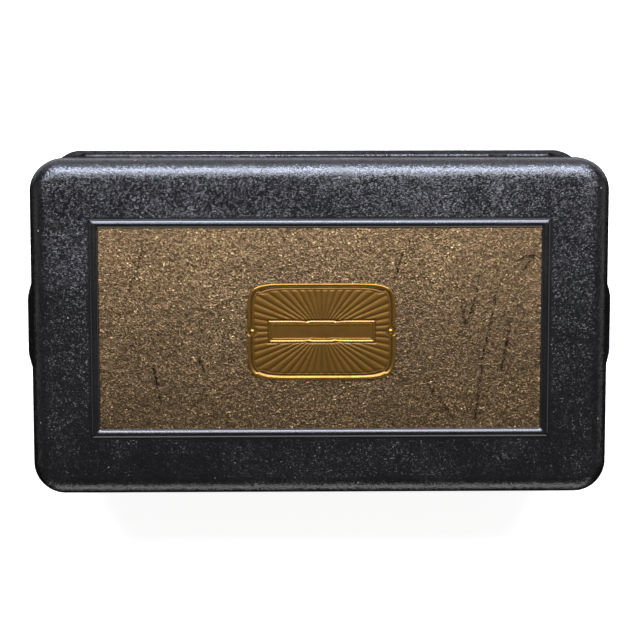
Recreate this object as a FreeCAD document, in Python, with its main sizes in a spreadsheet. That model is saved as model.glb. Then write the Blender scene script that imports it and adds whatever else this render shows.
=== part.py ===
import FreeCAD, Part
import math
import os
import re
import Sketcher

# Table radio receiver: a pressed-steel case with a lift-off lid, and inside it a chassis with
# three ganged tuning condensers, coils, valves, a power can and a row of terminals.
# Millimetres, +Z up, front at -Y. The origin is on the table under the middle of the receiver's
# overall box. The knobs stand out in front, so the case's own middle is a little behind it.

Vector = FreeCAD.Vector
document = FreeCAD.newDocument("table_receiver")

SIZES = {
    # case: a wall with a plinth, a ridge that the lid stands over, and turned-in flanges
    "case_width": 440, "case_depth": 253, "case_corner": 20, "case_height": 160, "sheet": 1.2,
    "foot_height": 4, "plinth_top": 22, "plinth_slope": 4, "moulding": 3,
    "ridge_proud": 4.5, "ridge_low": 142, "ridge_high": 146, "top_flange": 9, "base_flange": 12,
    "wall_bead_width": 6, "wall_bead_height": 2, "wall_bead_margin": 5,
    "wall_bead_low": 29, "wall_bead_high": 134,
    # lid: a shallow cap with a half-round bead round its top and a finger lip at each end
    "lid_over": 5, "lid_corner": 25, "lid_top": 174, "lid_edge": 14, "lid_gap": 0.3,
    "lip_length": 84, "lip_depth": 5, "lip_height": 12,
    "bead_width": 7.2, "bead_height": 2.4, "panel_width": 350, "panel_depth": 164,
    # badge riveted to the lid
    "badge_width": 115, "badge_depth": 75, "badge_corner": 3, "badge_thick": 1.2,
    "badge_rim": 1.6, "badge_relief": 0.8, "badge_right": 1, "badge_forward": 2,
    "rivet_spacing": 107.4, "rivet_radius": 1.5, "rivet_head": 2, "rivet_dome": 0.9,
    # feet, bottom plate and small screws
    "foot_radius": 6.5, "foot_stud": 2, "foot_inset": 9.4,
    "base_width": 430, "base_depth": 243, "base_corner": 14,
    "vent_length": 32, "vent_width": 4, "vent_pitch": 14, "vent_side": 80, "vent_count": 6,
    "screw_radius": 1.5, "screw_head": 3, "screw_head_height": 1.4,
    # front: dial, tuning knob below it, volume to the right and mains switch to the left
    "dial_axis": 88, "control_axis": 48.5, "control_step": 105,
    "escutcheon_width": 84, "escutcheon_low": 34, "escutcheon_shoulder": 87, "escutcheon_thick": 1.5,
    "window_inner": 25, "window_outer": 34, "window_sine": 0.6691, "window_cosine": 0.7431,
    "window_margin": 2, "dial_radius": 36, "dial_thick": 1.2, "dial_depth": 7.3,
    "shaft_radius": 3.175, "shaft_play": 0.05, "knob_radius": 16, "knob_length": 16.5,
    "knob_reach": 21.5, "knob_recess": 9.5, "knob_recess_depth": 6, "pinch_radius": 5,
    "bushing_radius": 4.75, "volume_radius": 16, "volume_length": 14,
    "toggle_width": 22, "toggle_tall": 30, "toggle_depth": 22, "toggle_bushing": 6,
    "toggle_bore": 3.1, "toggle_pivot": 3.5, "toggle_angle": 17, "nut_thick": 2.4,
    # chassis pan
    "deck": 36, "deck_width": 400, "deck_front": 34.5, "deck_depth": 194, "pan_sheet": 1.5,
    "pan_flange": 6,
    # tuning condensers, one each side of the middle one
    "tuner_step": 105, "tuner_width": 72, "tuner_top": 126, "tuner_depth": 54,
    "rotor_radius": 30, "stator_radius": 35, "stator_bore": 8, "plate_thick": 0.8,
    "plate_pitch": 4, "rotor_plates": 11, "stator_plates": 12, "stator_rod": 1.8,
    "stator_rod_side": 24, "stator_rod_drop": 23,
    "pulley_radius": 18, "pulley_depth": 16, "pulley_length": 7.5, "belt_gap": 0.3,
    "belt_thick": 0.3, "belt_width": 3,
    # coils
    "coil_radius": 20, "coil_height": 62, "coil_wall": 1.5, "winding_thick": 1,
    "winding_low": 10, "winding_high": 52, "coil_depth": 135.5, "coil_step": 105, "coil_left": -150,
    # valves
    "valve_step": 49, "valve_left": -182, "valve_depth": 204.5, "valve_count": 6,
    "rectifier_right": 174, "rectifier_depth": 68.5,
    "socket_radius": 20, "socket_height": 8, "valve_base_radius": 17.5, "valve_base_height": 30,
    "pin_radius": 1.6, "pin_circle": 10, "pin_length": 7, "neck_radius": 15, "bulb_radius": 22,
    "glass": 1, "bulb_height": 72, "anode_radius": 8, "anode_height": 30,
    # power can, audio transformers, terminals
    "can_left": 96, "can_width": 102, "can_front": 112.5, "can_depth": 114, "can_height": 104,
    "terminal_left": -150, "terminal_width": 120, "terminal_low": 26, "terminal_high": 64,
    "terminal_thick": 4, "terminal_axis": 53, "stud_radius": 2, "terminal_nut_radius": 5.5,
    "terminal_nut_length": 8, "stud_tip_radius": 1.8, "stud_tip_length": 6.5,
    "jack_radius": 4.5, "jack_bore": 2, "jack_length": 10,
    "cord_right": 150, "cord_axis": 40, "cord_bore": 4, "grommet_neck": 6.5, "grommet_flange": 7.8,
}

sheet = document.addObject("Spreadsheet::Sheet", "Sizes")
for row, (alias, size) in enumerate(SIZES.items(), start=1):
    sheet.set(f"A{row}", alias)
    sheet.set(f"B{row}", str(size))
    sheet.setAlias(f"B{row}", alias)
document.recompute()

# The case's front face, the case's middle and the chassis pan's rear, along Y.
FRONT = "((knob_reach-case_depth-lid_over)/2)"
MIDDLE = "((knob_reach-lid_over)/2)"
subparts = []


def formula(text):
    """The text with each alias pointing at its cell of the sheet."""
    return re.sub("[a-z_]+", lambda word: "Sizes." * (word.group() in SIZES) + word.group(), str(text))


def number(text):
    """What a formula comes to, in millimetres."""
    def cell(word):
        return f"({sheet.get(word.group())})" if word.group() in SIZES else word.group()
    return FreeCAD.Units.parseQuantity(re.sub("[a-z_]+", cell, str(text))).Value


def back(depth):
    """Y at a depth behind the case's front face."""
    return f"({FRONT}+{depth})"


def keep(item, label):
    """Name a finished sub-part, so that it is checked and written."""
    item.Label = label
    subparts.append(item)
    return item


def bind(item, **sizes):
    """Tie properties of an object to formulas of the sheet."""
    for name, text in sizes.items():
        item.setExpression(name, formula(text))
    return item


def place(item, x="0", y="0", z="0", turn=None):
    """Put an object at a point, with an optional rotation."""
    if turn:
        item.Placement = FreeCAD.Placement(Vector(), turn)
    for axis, text in zip("xyz", (x, y, z)):
        item.setExpression(f"Placement.Base.{axis}", formula(text))
    return item


ALONG = {
    "x": FreeCAD.Rotation(Vector(0, 1, 0), 90),
    "y": FreeCAD.Rotation(Vector(1, 0, 0), -90),
    "z": FreeCAD.Rotation(),
}


def block(name, x, y, z):
    """A box between a low and a high bound on each axis."""
    item = document.addObject("Part::Box", name)
    bind(item, Length=f"{x[1]}-({x[0]})", Width=f"{y[1]}-({y[0]})", Height=f"{z[1]}-({z[0]})")
    return place(item, x[0], y[0], z[0])


def rod(name, along, start, length, radius):
    """A cylinder from a start point towards the positive end of an axis."""
    item = document.addObject("Part::Cylinder", name)
    bind(item, Radius=radius, Height=length)
    return place(item, *start, turn=ALONG[along])


def join(name, pieces):
    """One solid from pieces that touch."""
    item = document.addObject("Part::MultiFuse", name)
    item.Shapes = pieces
    return item


def cut(name, base, tools):
    """The base less every tool."""
    item = document.addObject("Part::Cut", name)
    item.Base = base
    item.Tool = tools[0] if len(tools) == 1 else join(name + "_tools", tools)
    return item


def overlap(name, first, second):
    """What two pieces share."""
    item = document.addObject("Part::Common", name)
    item.Base = first
    item.Tool = second
    return item


def group(name, pieces):
    """Separate solids kept together as one sub-part."""
    item = document.addObject("Part::Compound", name)
    item.Links = pieces
    return item


def sketch_on(owner, plane, name, offset="0"):
    """A sketch on one of a body's own origin planes, moved along the plane's normal."""
    sketch = owner.newObject("Sketcher::SketchObject", name)
    support = next(item for item in owner.Origin.OriginFeatures if item.Role == plane)
    sketch.AttachmentSupport = [(support, "")]
    sketch.MapMode = "FlatFace"
    sketch.setExpression("AttachmentOffset.Base.z", formula(offset))
    return sketch


def arc_between(start, end, radius):
    """An arc that runs to the left for a positive radius, and to the right for a negative one."""
    across = end - start
    side = Vector(-across.y, across.x, 0).normalize()
    rise = math.sqrt(max(radius ** 2 - (across.Length / 2) ** 2, 0))
    centre = (start + end) / 2 + side * math.copysign(rise, radius)
    first, last = (start, end) if radius > 0 else (end, start)
    angles = [math.atan2(point.y - centre.y, point.x - centre.x) for point in (first, last)]
    return Part.ArcOfCircle(Part.Circle(centre, Vector(0, 0, 1), abs(radius)), *angles)


def outline(sketch, points):
    """A closed outline. A point is (u, v), or (u, v, radius) where an arc leaves it."""
    spots = [Vector(number(point[0]), number(point[1]), 0) for point in points]
    radii = [number(point[2]) if len(point) > 2 else 0 for point in points]
    count = len(points)
    for index, radius in enumerate(radii):
        start, end = spots[index], spots[(index + 1) % count]
        edge = arc_between(start, end, radius) if radius else Part.LineSegment(start, end)
        sketch.addGeometry(edge, False)
    ends = [(2, 1) if radius < 0 else (1, 2) for radius in radii]
    for index in range(count):
        after = (index + 1) % count
        sketch.addConstraint(Sketcher.Constraint("Coincident", index, ends[index][1], after, ends[after][0]))
    for index, point in enumerate(points):
        for kind, letter, text in (("DistanceX", "u", point[0]), ("DistanceY", "v", point[1])):
            now = spots[index][0 if letter == "u" else 1]
            rule = Sketcher.Constraint(kind, -1, 1, index, ends[index][0], now)
            dimension(sketch, rule, f"{letter}{index}", text)
        if radii[index]:
            after = spots[(index + 1) % count]
            if abs((after - spots[index]).Length - 2 * abs(radii[index])) > 0.001:
                rule = Sketcher.Constraint("Radius", index, abs(radii[index]))
                dimension(sketch, rule, f"radius{index}", f"abs({point[2]})")
            else:
                # A half circle is held by its centre, which lies on the line between its ends.
                level = abs(after.y - spots[index].y) < 0.001
                kind, now = ("DistanceY", spots[index].y) if level else ("DistanceX", spots[index].x)
                rule = Sketcher.Constraint(kind, -1, 1, index, 3, now)
                dimension(sketch, rule, f"centre{index}", point[1] if level else point[0])


def dimension(sketch, rule, name, text):
    """Add a named dimension to a sketch and tie it to the sheet."""
    sketch.renameConstraint(sketch.addConstraint(rule), name)
    sketch.setExpression("Constraints." + name, formula(text))


def rounded(sketch, width, depth, corner):
    """A rounded rectangle round the sketch's origin, started in the middle of its right side."""
    u, v = f"({width})/2", f"({depth})/2"
    near_u, near_v = f"({u}-{corner})", f"({v}-{corner})"
    outline(sketch, [(u, "0"), (u, near_v, corner), (near_u, v), (f"-{near_u}", v, corner),
                     (f"-{u}", near_v), (f"-{u}", f"-{near_v}", corner), (f"-{near_u}", f"-{v}"),
                     (near_u, f"-{v}", corner), (u, f"-{near_v}")])


def body(name):
    return document.addObject("PartDesign::Body", name)


def feature(kind, owner, profile, name, **sizes):
    """A PartDesign feature made from a sketch."""
    item = owner.newObject("PartDesign::" + kind, name)
    item.Profile = profile
    return bind(item, **sizes)


def sweep(owner, path, section, name):
    """Carry a section along a closed path, with mitred corners."""
    item = feature("AdditivePipe", owner, section, name)
    item.Spine = (path, [])
    item.Transition = "Right corner"
    return item


def repeat(owner, made, sketch, name, count, pitch):
    """Copy a feature along its sketch's normal."""
    item = owner.newObject("PartDesign::LinearPattern", name)
    item.Originals = [made]
    item.Direction = (sketch, ["N_Axis"])
    bind(item, Occurrences=count, Length=f"({count}-1)*{pitch}")
    owner.Tip = item
    return item


def turned(name, axis, profile, x="0", y="0", z="0"):
    """A turned piece. The profile's points are (radius, distance along the axis)."""
    owner = body(name)
    sketch = sketch_on(owner, "XY_Plane" if axis == "y" else "XZ_Plane", name + "_profile")
    outline(sketch, profile)
    spin = feature("Revolution", owner, sketch, name + "_turning")
    spin.ReferenceAxis = (sketch, ["V_Axis"])
    spin.Angle = 360
    return place(owner, x, y, z)


def tube(inner, outer, low, high):
    """The profile of a ring or, with an inner radius of 0, of a rod."""
    return [(inner, low), (outer, low), (outer, high), (inner, high)]


def cap_radius(width, height):
    """The radius of a round cap of a given width and height."""
    return f"(({width})*({width})/4+{height}*{height})/(2*{height})"


def domed_pin(name, axis, shank, head, shank_end, seat, dome, x, y, z):
    """A screw or rivet whose domed head sits at seat, with its shank running to shank_end."""
    outward = 1 if number(seat) > number(shank_end) else -1
    crown = f"{seat}+({outward})*{dome}"
    curve = f"({outward})*{cap_radius(f'2*({head})', dome)}"
    profile = [("0", shank_end), (shank, shank_end), (shank, seat), (head, seat, curve), ("0", crown)]
    return turned(name, axis, profile, x, y, z)


# --- case ---------------------------------------------------------------------------------------

def wall_bead(owner, name, plane, side, half_length):
    """A pressed bead round one wall, on the side that the plane's normal times side points to."""
    middle = "(wall_bead_low+wall_bead_high)/2"
    reach = "case_depth/2" if plane == "XZ_Plane" else "case_width/2"
    path = sketch_on(owner, plane, name + "_path", f"{side}*{reach}")
    low, high = "wall_bead_low", "wall_bead_high"
    outline(path, [(half_length, middle), (half_length, high), (f"-({half_length})", high),
                   (f"-({half_length})", low), (half_length, low)])
    section = sketch_on(owner, "XY_Plane", name + "_section", middle)
    curve = cap_radius("wall_bead_width", "wall_bead_height")
    near, far = f"{half_length}-wall_bead_width/2", f"{half_length}+wall_bead_width/2"
    if plane == "XZ_Plane":
        first, last = (far, near) if side > 0 else (near, far)
        outline(section, [(first, f"-({side})*{reach}"), (last, f"-({side})*{reach}", curve)])
    else:
        first, last = (far, near) if side > 0 else (near, far)
        outline(section, [(f"{side}*{reach}", first), (f"{side}*{reach}", last, curve)])
    return sweep(owner, path, section, name)


def case_wall():
    """The pressed wall with plinth, ridge and flanges, and a bead round each side."""
    owner = body("case_wall")
    path = sketch_on(owner, "XY_Plane", "case_plan")
    rounded(path, "case_width", "case_depth", "case_corner")
    section = sketch_on(owner, "XZ_Plane", "case_section")
    wall, plinth, ridge = "case_width/2", "case_width/2+moulding", "case_width/2+ridge_proud"
    lip, base = "case_width/2-top_flange", "case_width/2-base_flange"
    slope_low, slope_high = "plinth_top-plinth_slope", "plinth_top"
    shoulder, half = "ridge_low-moulding", "sheet/2"
    outline(section, [
        (base, "foot_height"), (plinth, "foot_height"), (plinth, slope_low), (wall, slope_high),
        (wall, shoulder), (ridge, "ridge_low"), (ridge, "ridge_high"), (wall, "ridge_high"),
        (wall, "case_height"), (lip, "case_height"), (lip, "case_height-sheet"),
        (f"{wall}-sheet", "case_height-sheet"), (f"{wall}-sheet", "ridge_high-sheet"),
        (f"{ridge}-sheet", "ridge_high-sheet"), (f"{ridge}-sheet", f"ridge_low+{half}"),
        (f"{wall}-sheet", f"{shoulder}+{half}"), (f"{wall}-sheet", f"{slope_high}-{half}"),
        (f"{plinth}-sheet", f"{slope_low}-{half}"), (f"{plinth}-sheet", "foot_height+sheet"),
        (base, "foot_height+sheet")])
    sweep(owner, path, section, "case_pressing")
    long_half = "(case_width/2-case_corner-wall_bead_margin)"
    short_half = "(case_depth/2-case_corner-wall_bead_margin)"
    for side, word in ((1, "front"), (-1, "rear")):
        wall_bead(owner, word + "_bead", "XZ_Plane", side, long_half)
    for side, word in ((1, "right"), (-1, "left")):
        wall_bead(owner, word + "_bead", "YZ_Plane", side, short_half)
    return place(owner, "0", MIDDLE, "0")


def window_sector(name, margin, low, high):
    """A sector of a ring about the dial's axis, as the dial's window and the hole behind it."""
    owner = body(name)
    sketch = sketch_on(owner, "XZ_Plane", name + "_outline")
    far, near = f"(window_outer+{margin})", f"(window_inner-{margin})"
    side, rise = f"(window_sine*{far}+{margin})", f"window_cosine*{far}"
    inside, drop = f"(window_sine*{near}+{margin})", f"window_cosine*{near}"
    outline(sketch, [(side, rise, far), (f"-{side}", rise), (f"-{inside}", drop, f"-{near}"), (inside, drop)])
    feature("Pad", owner, sketch, name + "_pad", Length=f"({high})-({low})")
    return place(owner, "0", back(high), "dial_axis")


CORNERS = [(1, 1), (1, -1), (-1, 1), (-1, -1)]
BASE_SCREWS = [(f"{i}*(base_width/2-3.5)", f"{j}*60") for i, j in CORNERS]
BASE_SCREWS += [(f"{i}*110", f"{j}*(base_depth/2-3.5)") for i, j in CORNERS]
FEET = [(f"{i}*(case_width/2-foot_inset)", f"{j}*(case_depth/2-foot_inset)") for i, j in CORNERS]
PLATE_SCREWS = [("-36.5", "39.5"), ("36.5", "39.5"), ("-36.5", "92"), ("36.5", "92")]


def case_walls():
    """Front, rear and two ends, welded where the corners' curves begin, with every hole in them."""
    def through(name, x, z, radius):
        return rod(name, "y", (x, back("-5"), z), "10", radius)
    tools = [
        window_sector("window_hole", "window_margin", "-3", "4"),
        through("tuning_hole", "0", "control_axis", "shaft_radius+1.5"),
        through("volume_hole", "control_step", "control_axis", "bushing_radius"),
        through("toggle_hole", "-control_step", "control_axis", "toggle_bushing"),
        rod("cord_hole", "y", ("cord_right", back("case_depth-5"), "cord_axis"), "10", "grommet_neck"),
        block("terminal_hole", ("terminal_left-4", "terminal_left+terminal_width+4"),
              (back("case_depth-4"), back("case_depth+4")), ("terminal_low+12", "terminal_high+2")),
    ]
    tools += [through(f"plate_screw_hole_{i}", x, z, "screw_radius-0.3")
              for i, (x, z) in enumerate(PLATE_SCREWS)]
    tools += [rod(f"foot_hole_{i}", "z", (x, f"{MIDDLE}+{y}", "3"), "4", "foot_stud")
              for i, (x, y) in enumerate(FEET)]
    tools += [rod(f"base_screw_hole_{i}", "z", (x, f"{MIDDLE}+{y}", "3"), "3", "screw_radius")
              for i, (x, y) in enumerate(BASE_SCREWS)]
    drilled = cut("case_drilled", case_wall(), tools)
    seam, far = "(case_width/2-case_corner)", "case_width"
    before, behind = back("-case_depth"), back("2*case_depth")
    zones = {
        "case_front": ((f"-{seam}", seam), (before, MIDDLE)),
        "case_rear": ((f"-{seam}", seam), (MIDDLE, behind)),
        "case_left": ((f"-{far}", f"-{seam}"), (before, behind)),
        "case_right": ((seam, far), (before, behind)),
    }
    for label, (x, y) in zones.items():
        zone = block(label + "_zone", x, y, ("0", "2*case_height"))
        keep(overlap(label + "_wall", drilled, zone), label)


def bottom_plate():
    """The plate that closes the case from inside, with two rows of vent slots."""
    owner = body("base_blank")
    sketch = sketch_on(owner, "XY_Plane", "base_outline", "foot_height+sheet")
    rounded(sketch, "base_width", "base_depth", "base_corner")
    feature("Pad", owner, sketch, "base_pad", Length="sheet")
    place(owner, "0", MIDDLE, "0")
    slots = []
    for side in (-1, 1):
        for row in range(int(number("vent_count"))):
            y = f"({MIDDLE}+({row}-(vent_count-1)/2)*vent_pitch)"
            slots.append(block(f"vent_{side + 2}_{row}",
                               (f"{side}*vent_side-vent_length/2", f"{side}*vent_side+vent_length/2"),
                               (f"{y}-vent_width/2", f"{y}+vent_width/2"), ("4", "9")))
    holes = [rod(f"base_hole_{i}", "z", (x, f"{MIDDLE}+{y}", "4"), "5", "screw_radius")
             for i, (x, y) in enumerate(BASE_SCREWS + PAN_SCREWS)]
    keep(cut("base_drilled", owner, slots + holes), "bottom_plate")


def base_screws():
    """Screws up through the case's flange, heads underneath, and down through the chassis feet."""
    screws = [domed_pin(f"base_screw_{i}", "z", "screw_radius", "screw_head", "foot_height+sheet*2+2",
                        "foot_height", "screw_head_height", x, f"{MIDDLE}+{y}", "0")
              for i, (x, y) in enumerate(BASE_SCREWS)]
    screws += [domed_pin(f"pan_screw_{i}", "z", "screw_radius", "screw_head-0.3", "foot_height+0.5",
                         f"{PAN_LOW}+pan_sheet", "screw_head_height", x, f"{MIDDLE}+{y}", "0")
               for i, (x, y) in enumerate(PAN_SCREWS)]
    keep(group("screws", screws), "base_screws")


def rubber_feet():
    """Feet plugged into the flange at the corners."""
    profile = [("0", "0"), ("foot_radius-0.8", "0"), ("foot_radius", "foot_height"),
               ("foot_stud", "foot_height"), ("foot_stud", "foot_height+sheet"), ("0", "foot_height+sheet")]
    feet = [turned(f"foot_{i}", "z", profile, x, f"{MIDDLE}+{y}", "0") for i, (x, y) in enumerate(FEET)]
    keep(group("feet", feet), "rubber_feet")


# --- lid ----------------------------------------------------------------------------------------

LID_WIDTH = "(case_width+2*lid_over)"
LID_DEPTH = "(case_depth+2*lid_over)"
LID_LOW = "(ridge_high+lid_gap)"


def lid_pressing():
    """The cap with its rounded top edge, hollowed to sheet thickness, and the bead on top."""
    owner = body("lid_pressing")
    sketch = sketch_on(owner, "XY_Plane", "lid_outline", LID_LOW)
    rounded(sketch, LID_WIDTH, LID_DEPTH, "lid_corner")
    pad = feature("Pad", owner, sketch, "lid_pad", Length=f"lid_top-{LID_LOW}")
    document.recompute()
    top = pad.Shape.BoundBox.ZMax
    rim = [f"Edge{i}" for i, edge in enumerate(pad.Shape.Edges, 1) if abs(edge.BoundBox.ZMin - top) < 0.01]
    rounding = owner.newObject("PartDesign::Fillet", "lid_rounding")
    rounding.Base = (pad, rim)
    bind(rounding, Radius="lid_edge")
    document.recompute()
    floor = rounding.Shape.BoundBox.ZMin
    open_face = [f"Face{i}" for i, face in enumerate(rounding.Shape.Faces, 1)
                 if abs(face.BoundBox.ZMax - floor) < 0.01]
    hollow = owner.newObject("PartDesign::Thickness", "lid_hollow")
    hollow.Base = (rounding, open_face)
    hollow.Reversed = True
    bind(hollow, Value="sheet")
    path = sketch_on(owner, "XY_Plane", "bead_path", "lid_top")
    u, v = "panel_width/2", "panel_depth/2"
    outline(path, [(u, "0"), (u, v), (f"-{u}", v), (f"-{u}", f"-{v}"), (u, f"-{v}")])
    section = sketch_on(owner, "XZ_Plane", "bead_section")
    outline(section, [(f"{u}-bead_width/2", "lid_top"),
                      (f"{u}+bead_width/2", "lid_top", cap_radius("bead_width", "bead_height"))])
    sweep(owner, path, section, "lid_bead")
    return place(owner, "0", MIDDLE, "0")


def finger_lip(name, side, inset):
    """A part of a cone that swells out of the lid's end wall, set in by a thickness."""
    cone = document.addObject("Part::Cone", name + "_cone")
    radius = cap_radius("lip_length", "lip_depth")
    bind(cone, Radius1=f"{radius}-{inset}", Radius2=f"{radius}-lip_depth-{inset}", Height="lip_height")
    place(cone, f"{side}*({LID_WIDTH}/2+lip_depth-{radius})", MIDDLE, LID_LOW)
    near, far = f"{LID_WIDTH}/2-2*sheet", f"{LID_WIDTH}/2+2*lip_depth"
    x = (near, far) if side > 0 else (f"-({far})", f"-({near})")
    window = block(name + "_zone", x, (f"{MIDDLE}-lip_length", f"{MIDDLE}+lip_length"),
                   ("ridge_low", "lid_top"))
    return overlap(name, cone, window)


def badge_holes(word):
    return [rod(f"{word}_rivet_hole_{side + 2}", "z",
                (f"badge_right+{side}*rivet_spacing/2", f"{MIDDLE}-badge_forward", "lid_top-5"),
                "12", "rivet_radius") for side in (-1, 1)]


def lid_shell():
    """The lid with both finger lips and the rivet holes."""
    swollen = join("lid_swollen", [lid_pressing(), finger_lip("lip_right", 1, "0"),
                                   finger_lip("lip_left", -1, "0")])
    hollows = [finger_lip("lip_hollow_right", 1, "sheet"), finger_lip("lip_hollow_left", -1, "sheet")]
    keep(cut("lid_drilled", swollen, hollows + badge_holes("lid")), "lid_shell")


def badge_plate():
    """A brass plate with a raised rim and a raised blank bar across its middle."""
    owner = body("badge_blank")
    sketch = sketch_on(owner, "XY_Plane", "badge_outline")
    rounded(sketch, "badge_width", "badge_depth", "badge_corner")
    feature("Pad", owner, sketch, "badge_pad", Length="badge_thick+badge_relief")
    field = sketch_on(owner, "XY_Plane", "badge_field", "badge_thick")
    rounded(field, "badge_width-2*badge_rim", "badge_depth-2*badge_rim", "badge_corner/2")
    document.recompute()
    sunk = feature("Pocket", owner, field, "badge_sinking", Length="badge_relief+1")
    sunk.Reversed = True
    bar = sketch_on(owner, "XY_Plane", "badge_bar", "badge_thick")
    rounded(bar, "badge_width-9*badge_rim", "badge_depth/5", "badge_corner")
    feature("Pad", owner, bar, "badge_cartouche", Length="badge_relief")
    place(owner, "badge_right", f"{MIDDLE}-badge_forward", "lid_top")
    keep(cut("badge_drilled", owner, badge_holes("badge")), "badge_plate")


def badge_rivets():
    rivets = [domed_pin(f"badge_rivet_{side + 2}", "z", "rivet_radius", "rivet_head", "lid_top-sheet-0.5",
                        "lid_top+badge_thick", "rivet_dome", f"badge_right+{side}*rivet_spacing/2",
                        f"{MIDDLE}-badge_forward", "0") for side in (-1, 1)]
    keep(group("badge_pins", rivets), "badge_rivets")


# --- front --------------------------------------------------------------------------------------

def dial_escutcheon():
    """The arched brass plate round the dial's window and the tuning shaft."""
    owner = body("escutcheon_blank")
    sketch = sketch_on(owner, "XZ_Plane", "escutcheon_outline")
    side, low, shoulder = "escutcheon_width/2", "escutcheon_low", "escutcheon_shoulder"
    outline(sketch, [(side, low), (side, shoulder, side), (f"-{side}", shoulder), (f"-{side}", low)])
    feature("Pad", owner, sketch, "escutcheon_pad", Length="escutcheon_thick")
    place(owner, "0", FRONT, "0")
    holes = [window_sector("escutcheon_window", "0", "-4", "1"),
             rod("escutcheon_shaft_hole", "y", ("0", back("-5"), "control_axis"), "8", "shaft_radius+1.5")]
    holes += [rod(f"escutcheon_hole_{i}", "y", (x, back("-5"), z), "8", "screw_radius-0.3")
              for i, (x, z) in enumerate(PLATE_SCREWS)]
    keep(cut("escutcheon_drilled", owner, holes), "dial_escutcheon")


def escutcheon_screws():
    screws = [domed_pin(f"escutcheon_screw_{i}", "y", "screw_radius-0.3", "screw_head-0.4", "3",
                        "-escutcheon_thick", "screw_head_height-0.3", x, FRONT, z)
              for i, (x, z) in enumerate(PLATE_SCREWS)]
    keep(group("plate_screws", screws), "escutcheon_screws")


def dial_window():
    """A clear pane against the inside of the front wall."""
    keep(window_sector("window_pane", "window_margin+1.5", "sheet", "sheet+1"), "dial_window")


def cord_grommet():
    """A flanged ring in the rear wall for the mains cord."""
    inner, outer = "case_depth-sheet", "case_depth"
    profile = [("cord_bore", f"{inner}-1.5"), ("grommet_flange", f"{inner}-1.5"), ("grommet_flange", inner),
               ("grommet_neck", inner), ("grommet_neck", outer), ("grommet_flange", outer),
               ("grommet_flange", f"{outer}+1.5"), ("cord_bore", f"{outer}+1.5")]
    keep(turned("grommet", "y", profile, "cord_right", FRONT, "cord_axis"), "cord_grommet")


def knob(name, x, rear):
    """A knob with a hollow back and a blind bore, from its rear face forward."""
    front, recess = f"{rear}-knob_length", f"{rear}-knob_recess_depth"
    profile = [("0", front), ("knob_radius-4", front, "2"), ("knob_radius-2", f"{front}+2"),
               ("knob_radius", f"{rear}-2"), ("knob_radius", rear), ("knob_recess", rear),
               ("knob_recess", recess), ("shaft_radius", recess), ("shaft_radius", f"{front}+4"),
               ("0", f"{front}+4")]
    return turned(name, "y", profile, x, FRONT, "control_axis")


TUNING_REAR = "(knob_length-knob_reach)"
VOLUME_REAR = "(-1.5)"


def tuning_drive():
    """The tuning knob and its shaft, whose two washers pinch the edge of the dial disc."""
    keep(knob("tuning_grip", "0", TUNING_REAR), "tuning_knob")
    near, far = "dial_depth-0.3", "dial_depth+dial_thick+0.3"
    start, end = f"{TUNING_REAR}-knob_length+4", "deck_front-0.5"
    profile = [("0", start), ("shaft_radius", start), ("shaft_radius", f"{near}-1.5"),
               ("pinch_radius", f"{near}-1.5"), ("pinch_radius", near), ("shaft_radius", near),
               ("shaft_radius", far), ("pinch_radius", far), ("pinch_radius", f"{far}+1.5"),
               ("shaft_radius", f"{far}+1.5"), ("shaft_radius", end), ("0", end)]
    keep(turned("tuning_rod", "y", profile, "0", FRONT, "control_axis"), "tuning_shaft")


def tuning_bracket():
    """A U-shaped bearing bracket on the front of the chassis pan."""
    low, top = "control_axis-10", "control_axis+8"
    x = ("-12", "12")
    plates = [
        block("bracket_floor", x, (back("12"), back("deck_front")), (low, f"{low}+1.5")),
        block("bracket_front", x, (back("12"), back("13.5")), (low, top)),
        block("bracket_rear", x, (back("deck_front-2.5"), back("deck_front-1")), (low, top)),
        block("bracket_tab", x, (back("deck_front-1.5"), back("deck_front")), ("14", f"{low}+1.5")),
    ]
    bore = rod("bracket_bore", "y", ("0", back("10"), "control_axis"), "30", "shaft_radius+shaft_play")
    keep(cut("bracket_drilled", join("bracket_folded", plates), [bore]), "tuning_bracket")


def dial_disc():
    """The dial on the middle condenser's shaft."""
    near, far = "dial_depth", "dial_depth+dial_thick"
    profile = [("shaft_radius", f"{near}-1.5"), ("8", f"{near}-1.5"), ("8", near), ("dial_radius", near),
               ("dial_radius", far), ("8", far), ("8", f"{far}+4"), ("shaft_radius", f"{far}+4")]
    keep(turned("dial", "y", profile, "0", FRONT, "dial_axis"), "dial_disc")


def volume_control():
    """The volume knob, its shaft and the round control behind the front wall."""
    keep(knob("volume_grip", "control_step", VOLUME_REAR), "volume_knob")
    start, end = f"{VOLUME_REAR}-knob_length+4", "sheet+volume_length-3"
    keep(turned("volume_rod", "y", tube("0", "shaft_radius", start, end), "control_step", FRONT,
                "control_axis"), "volume_shaft")
    bore = "shaft_radius+shaft_play"
    profile = [(bore, "-6.5"), ("bushing_radius", "-6.5"), ("bushing_radius", "sheet"),
               ("volume_radius", "sheet"), ("volume_radius", "sheet+volume_length"),
               ("0", "sheet+volume_length"), ("0", f"{end}+0.5"), (bore, f"{end}+0.5")]
    keep(turned("volume_case", "y", profile, "control_step", FRONT, "control_axis"), "volume_control")


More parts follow.
